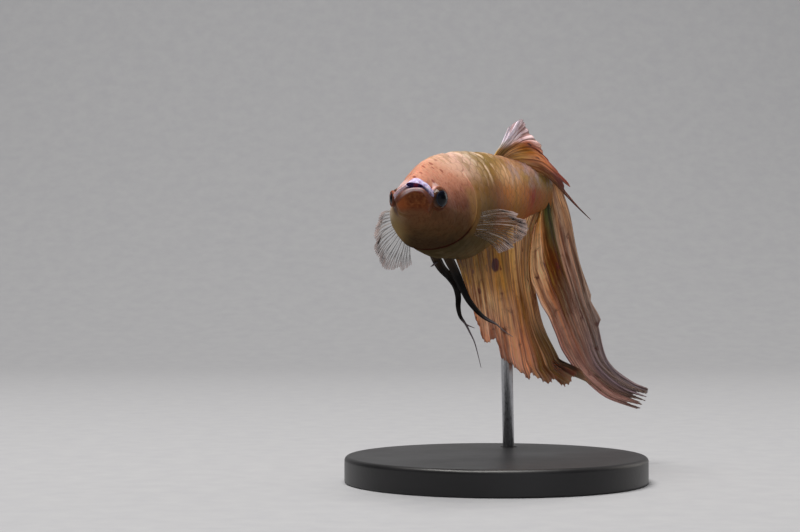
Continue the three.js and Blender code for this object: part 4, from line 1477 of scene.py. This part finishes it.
def dark_fin_finish():
    """Near-black straps streaked with dark brown and browner at the root, and brownish-grey threads."""
    recipe = Recipe("dark_fin_skin")
    fin, _, run, _ = recipe.attribute("fin")
    streak = recipe.noise(recipe.stretched(fin, 8, 3, 0), 1.0, 4.0)
    base = recipe.ramp(streak, "30 070608, 52 0e0b0a, 70 1e1610")
    base = recipe.paint(base, "332618", recipe.rise(run, 0.3, 0.05))
    return recipe.finish({
        "Base Color": recipe.paint(base, "6e6468", recipe.rise(run, 1.0, 1.5)),
        "Roughness": recipe.scaled(streak, 0.3, 0.3),
        "Normal": recipe.bump(streak, 0.00004, 0.6),
        "Specular IOR Level": 0.12,
    })


cover(pectorals, clear_fin_finish())
cover(pelvics, dark_fin_finish())

# %% [markdown]
# ## The stand
# The base is turned on a lathe: an outline of radius and height goes round the upright axis, with its edges
# rounded over. In its top face the rings close in on the rod's slanted socket and follow it down. The rod
# keeps its solid and only gets a finish.

# %% Turn the base
BASE = {"radius": 20, "thickness": 3.5, "foot_round": 0.3, "round_over": 0.6}  # mm
SOCKET = {"depth": 2, "radius": 1.1, "bevel": 0.1, "gap": 0.3}  # mm
ROD_ENDS = [(-3.4, 42.8, 0), (-1.5, 37, -1.2)]  # foot and top, as straight places
HOLD = 0.05  # a ring this near an edge keeps the faces beside it flat


def quarter(centre, size, start, count=10):
    """centre + size * (cos a, sin a), for a quarter turn from the angle start."""
    angle = start + np.linspace(0, np.pi / 2, count)
    return np.array(centre) + size * np.stack([np.cos(angle), np.sin(angle)], -1)


def turned_base(around=240):
    """Rings (radius, height) about the z axis, then rings about the rod's axis: foot + s * up + r * out."""
    radius, top, foot_round, round_over = BASE.values()
    outline = np.vstack([
        [(1, 0), (radius - foot_round - HOLD, 0)],
        quarter((radius - foot_round, foot_round), foot_round, -np.pi / 2),
        [(radius, foot_round + HOLD), (radius, top - round_over - HOLD)],
        quarter((radius - round_over, top - round_over), round_over, 0),
        [(radius - round_over - HOLD, top)],
    ])
    about = np.linspace(0, 2 * np.pi, around, endpoint=False)
    circle = np.stack([np.cos(about), np.sin(about), 0 * about], -1)
    rings = outline[:, 0, None, None] * circle + outline[:, 1, None, None] * np.array([0, 0, 1])
    foot, rod_top = bend(ROD_ENDS)
    foot[2] = top - SOCKET["depth"] + SOCKET["gap"]
    up = unit(rod_top - foot)
    across = unit(np.cross([0, 1, 0], up))
    out = np.cos(about)[:, None] * across + np.sin(about)[:, None] * np.cross(up, across)

    def socket_ring(size, level):
        """Where the socket's wall, or a wider one about the same axis, meets a level."""
        wall = foot + size * out
        return wall + (level - wall[:, 2:]) / up[2] * up

    bore, bevel, bottom = SOCKET["radius"], SOCKET["bevel"], foot[2] - SOCKET["gap"]
    rim = socket_ring(bore + bevel + HOLD, top)
    closing = [lerp(rings[-1], rim, share) for share in (0.3, 0.6, 0.85, 1)]
    hole = [socket_ring(*step) for step in (
        (bore + bevel, top), (bore, top - bevel), (bore, top - bevel - HOLD),
        (bore, bottom + HOLD), (bore, bottom), (bore - HOLD, bottom),
    )]
    grid = np.concatenate([rings, closing, hole])
    made = ringed("turned_base", grid, {}, np.array([[0, 0, 0], grid[-1].mean(0)]))
    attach(made, "root")
    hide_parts("stand_base")
    return made


turned = turned_base()

# %% Finish the stand
def object_place(recipe):
    """Where a point lies in its object, in metres."""
    return recipe.node("TexCoord", {}).outputs["Object"]


def stand_black_finish():
    """Satin black paint with a faint orange-peel and a few dull patches."""
    recipe = Recipe("satin_black")
    patchy = recipe.noise(object_place(recipe), 90.0, 4.0)
    peel = recipe.noise(object_place(recipe), 1400.0, 2.0)
    return recipe.finish({
        "Base Color": recipe.ramp(patchy, "30 151516, 70 1f1e20"),
        "Roughness": recipe.scaled(patchy, 0.25, 0.28),
        "Normal": recipe.bump(peel, 0.00004, 0.35),
    })


def stand_steel_finish():
    """Drawn steel with fine lines along the rod."""
    recipe = Recipe("drawn_steel")
    lines = recipe.noise(recipe.stretched(object_place(recipe), 9000, 9000, 150), 1.0, 3.0)
    return recipe.finish({
        "Base Color": recipe.ramp(lines, "30 8f9093, 70 b9babd"),
        "Metallic": 1.0,
        "Roughness": recipe.scaled(lines, 0.2, 0.2),
        "Normal": recipe.bump(lines, 0.00001, 0.4),
    })


cover([turned], stand_black_finish())
steel = stand_steel_finish()
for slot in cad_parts["stand_rod"].material_slots:
    slot.material = steel

# %% [markdown]
# ## Studio
# A pale sweep of paper runs under the stand and up behind it. One large soft light hangs over the fish, as
# over a tank, with a weak fill from the front and another on the flank from behind the fish's left side.

# %% Paper sweep
SWEEP = {"front": -700, "bend_from": 300, "radius": 260, "half_width": 1200, "top": 900}  # mm


def sweep_profile(count=24):
    """Flat to where the bend starts, a quarter circle, then straight up."""
    angle = np.linspace(0, np.pi / 2, count)
    y = SWEEP["bend_from"] + SWEEP["radius"] * np.sin(angle)
    z = SWEEP["radius"] * (1 - np.cos(angle))
    return np.vstack([[[SWEEP["front"], 0]], np.stack([y, z], -1), [[y[-1], SWEEP["top"]]]])


line = sweep_profile()
sides = np.array([-SWEEP["half_width"], SWEEP["half_width"]])
paper = straight(sides[:, None], line[None, :, 0], line[None, :, 1])
step = np.arange(len(line) - 1)
paper_faces = np.stack([step, step + len(line), step + len(line) + 1, step + 1], -1).tolist()
sweep = new_object("paper_sweep", flat(paper), paper_faces, {})
paper_recipe = Recipe("paper")
fibres = paper_recipe.noise(object_place(paper_recipe), 260.0, 4.0)
cover([sweep], paper_recipe.finish({
    "Base Color": paper_recipe.ramp(fibres, "30 999a9e, 70 9e9fa2"),
    "Roughness": 0.9,
}))

# %% Lights
LIT = (14, 27, -10)  # mm from the mouth, about the middle of the fish
LIGHTS = {  # place from there in mm, size in mm, watts, shade
    "over": ((-90, -60, 600), 420, 7.2, (1, 0.97, 0.93)),
    "fill": ((160, -420, 60), 300, 0.1, (0.93, 0.95, 1)),
    "flank": ((360, 240, 120), 260, 0.3, (1, 0.95, 0.88)),
}
ROOM_SHADE, ROOM_STRENGTH = (0.8, 0.82, 0.88, 1), 0.1

for name, (place, size, power, shade) in LIGHTS.items():
    data = bpy.data.lights.new(name, "AREA")
    data.size, data.energy, data.color = size * MM, power, shade
    light = bpy.data.objects.new(name, data)
    light.location = (mouth + LIT + place) * MM
    light.rotation_euler = (-Vector(place)).to_track_quat("-Z", "Y").to_euler()
    bpy.context.collection.objects.link(light)
    print(f"{name}: {power} W")
world = bpy.data.worlds.new("room")
world.use_nodes = True
world.node_tree.nodes["Background"].inputs["Color"].default_value = ROOM_SHADE
world.node_tree.nodes["Background"].inputs["Strength"].default_value = ROOM_STRENGTH
bpy.context.scene.world = world
bpy.context.scene.view_settings.view_transform = "Standard"
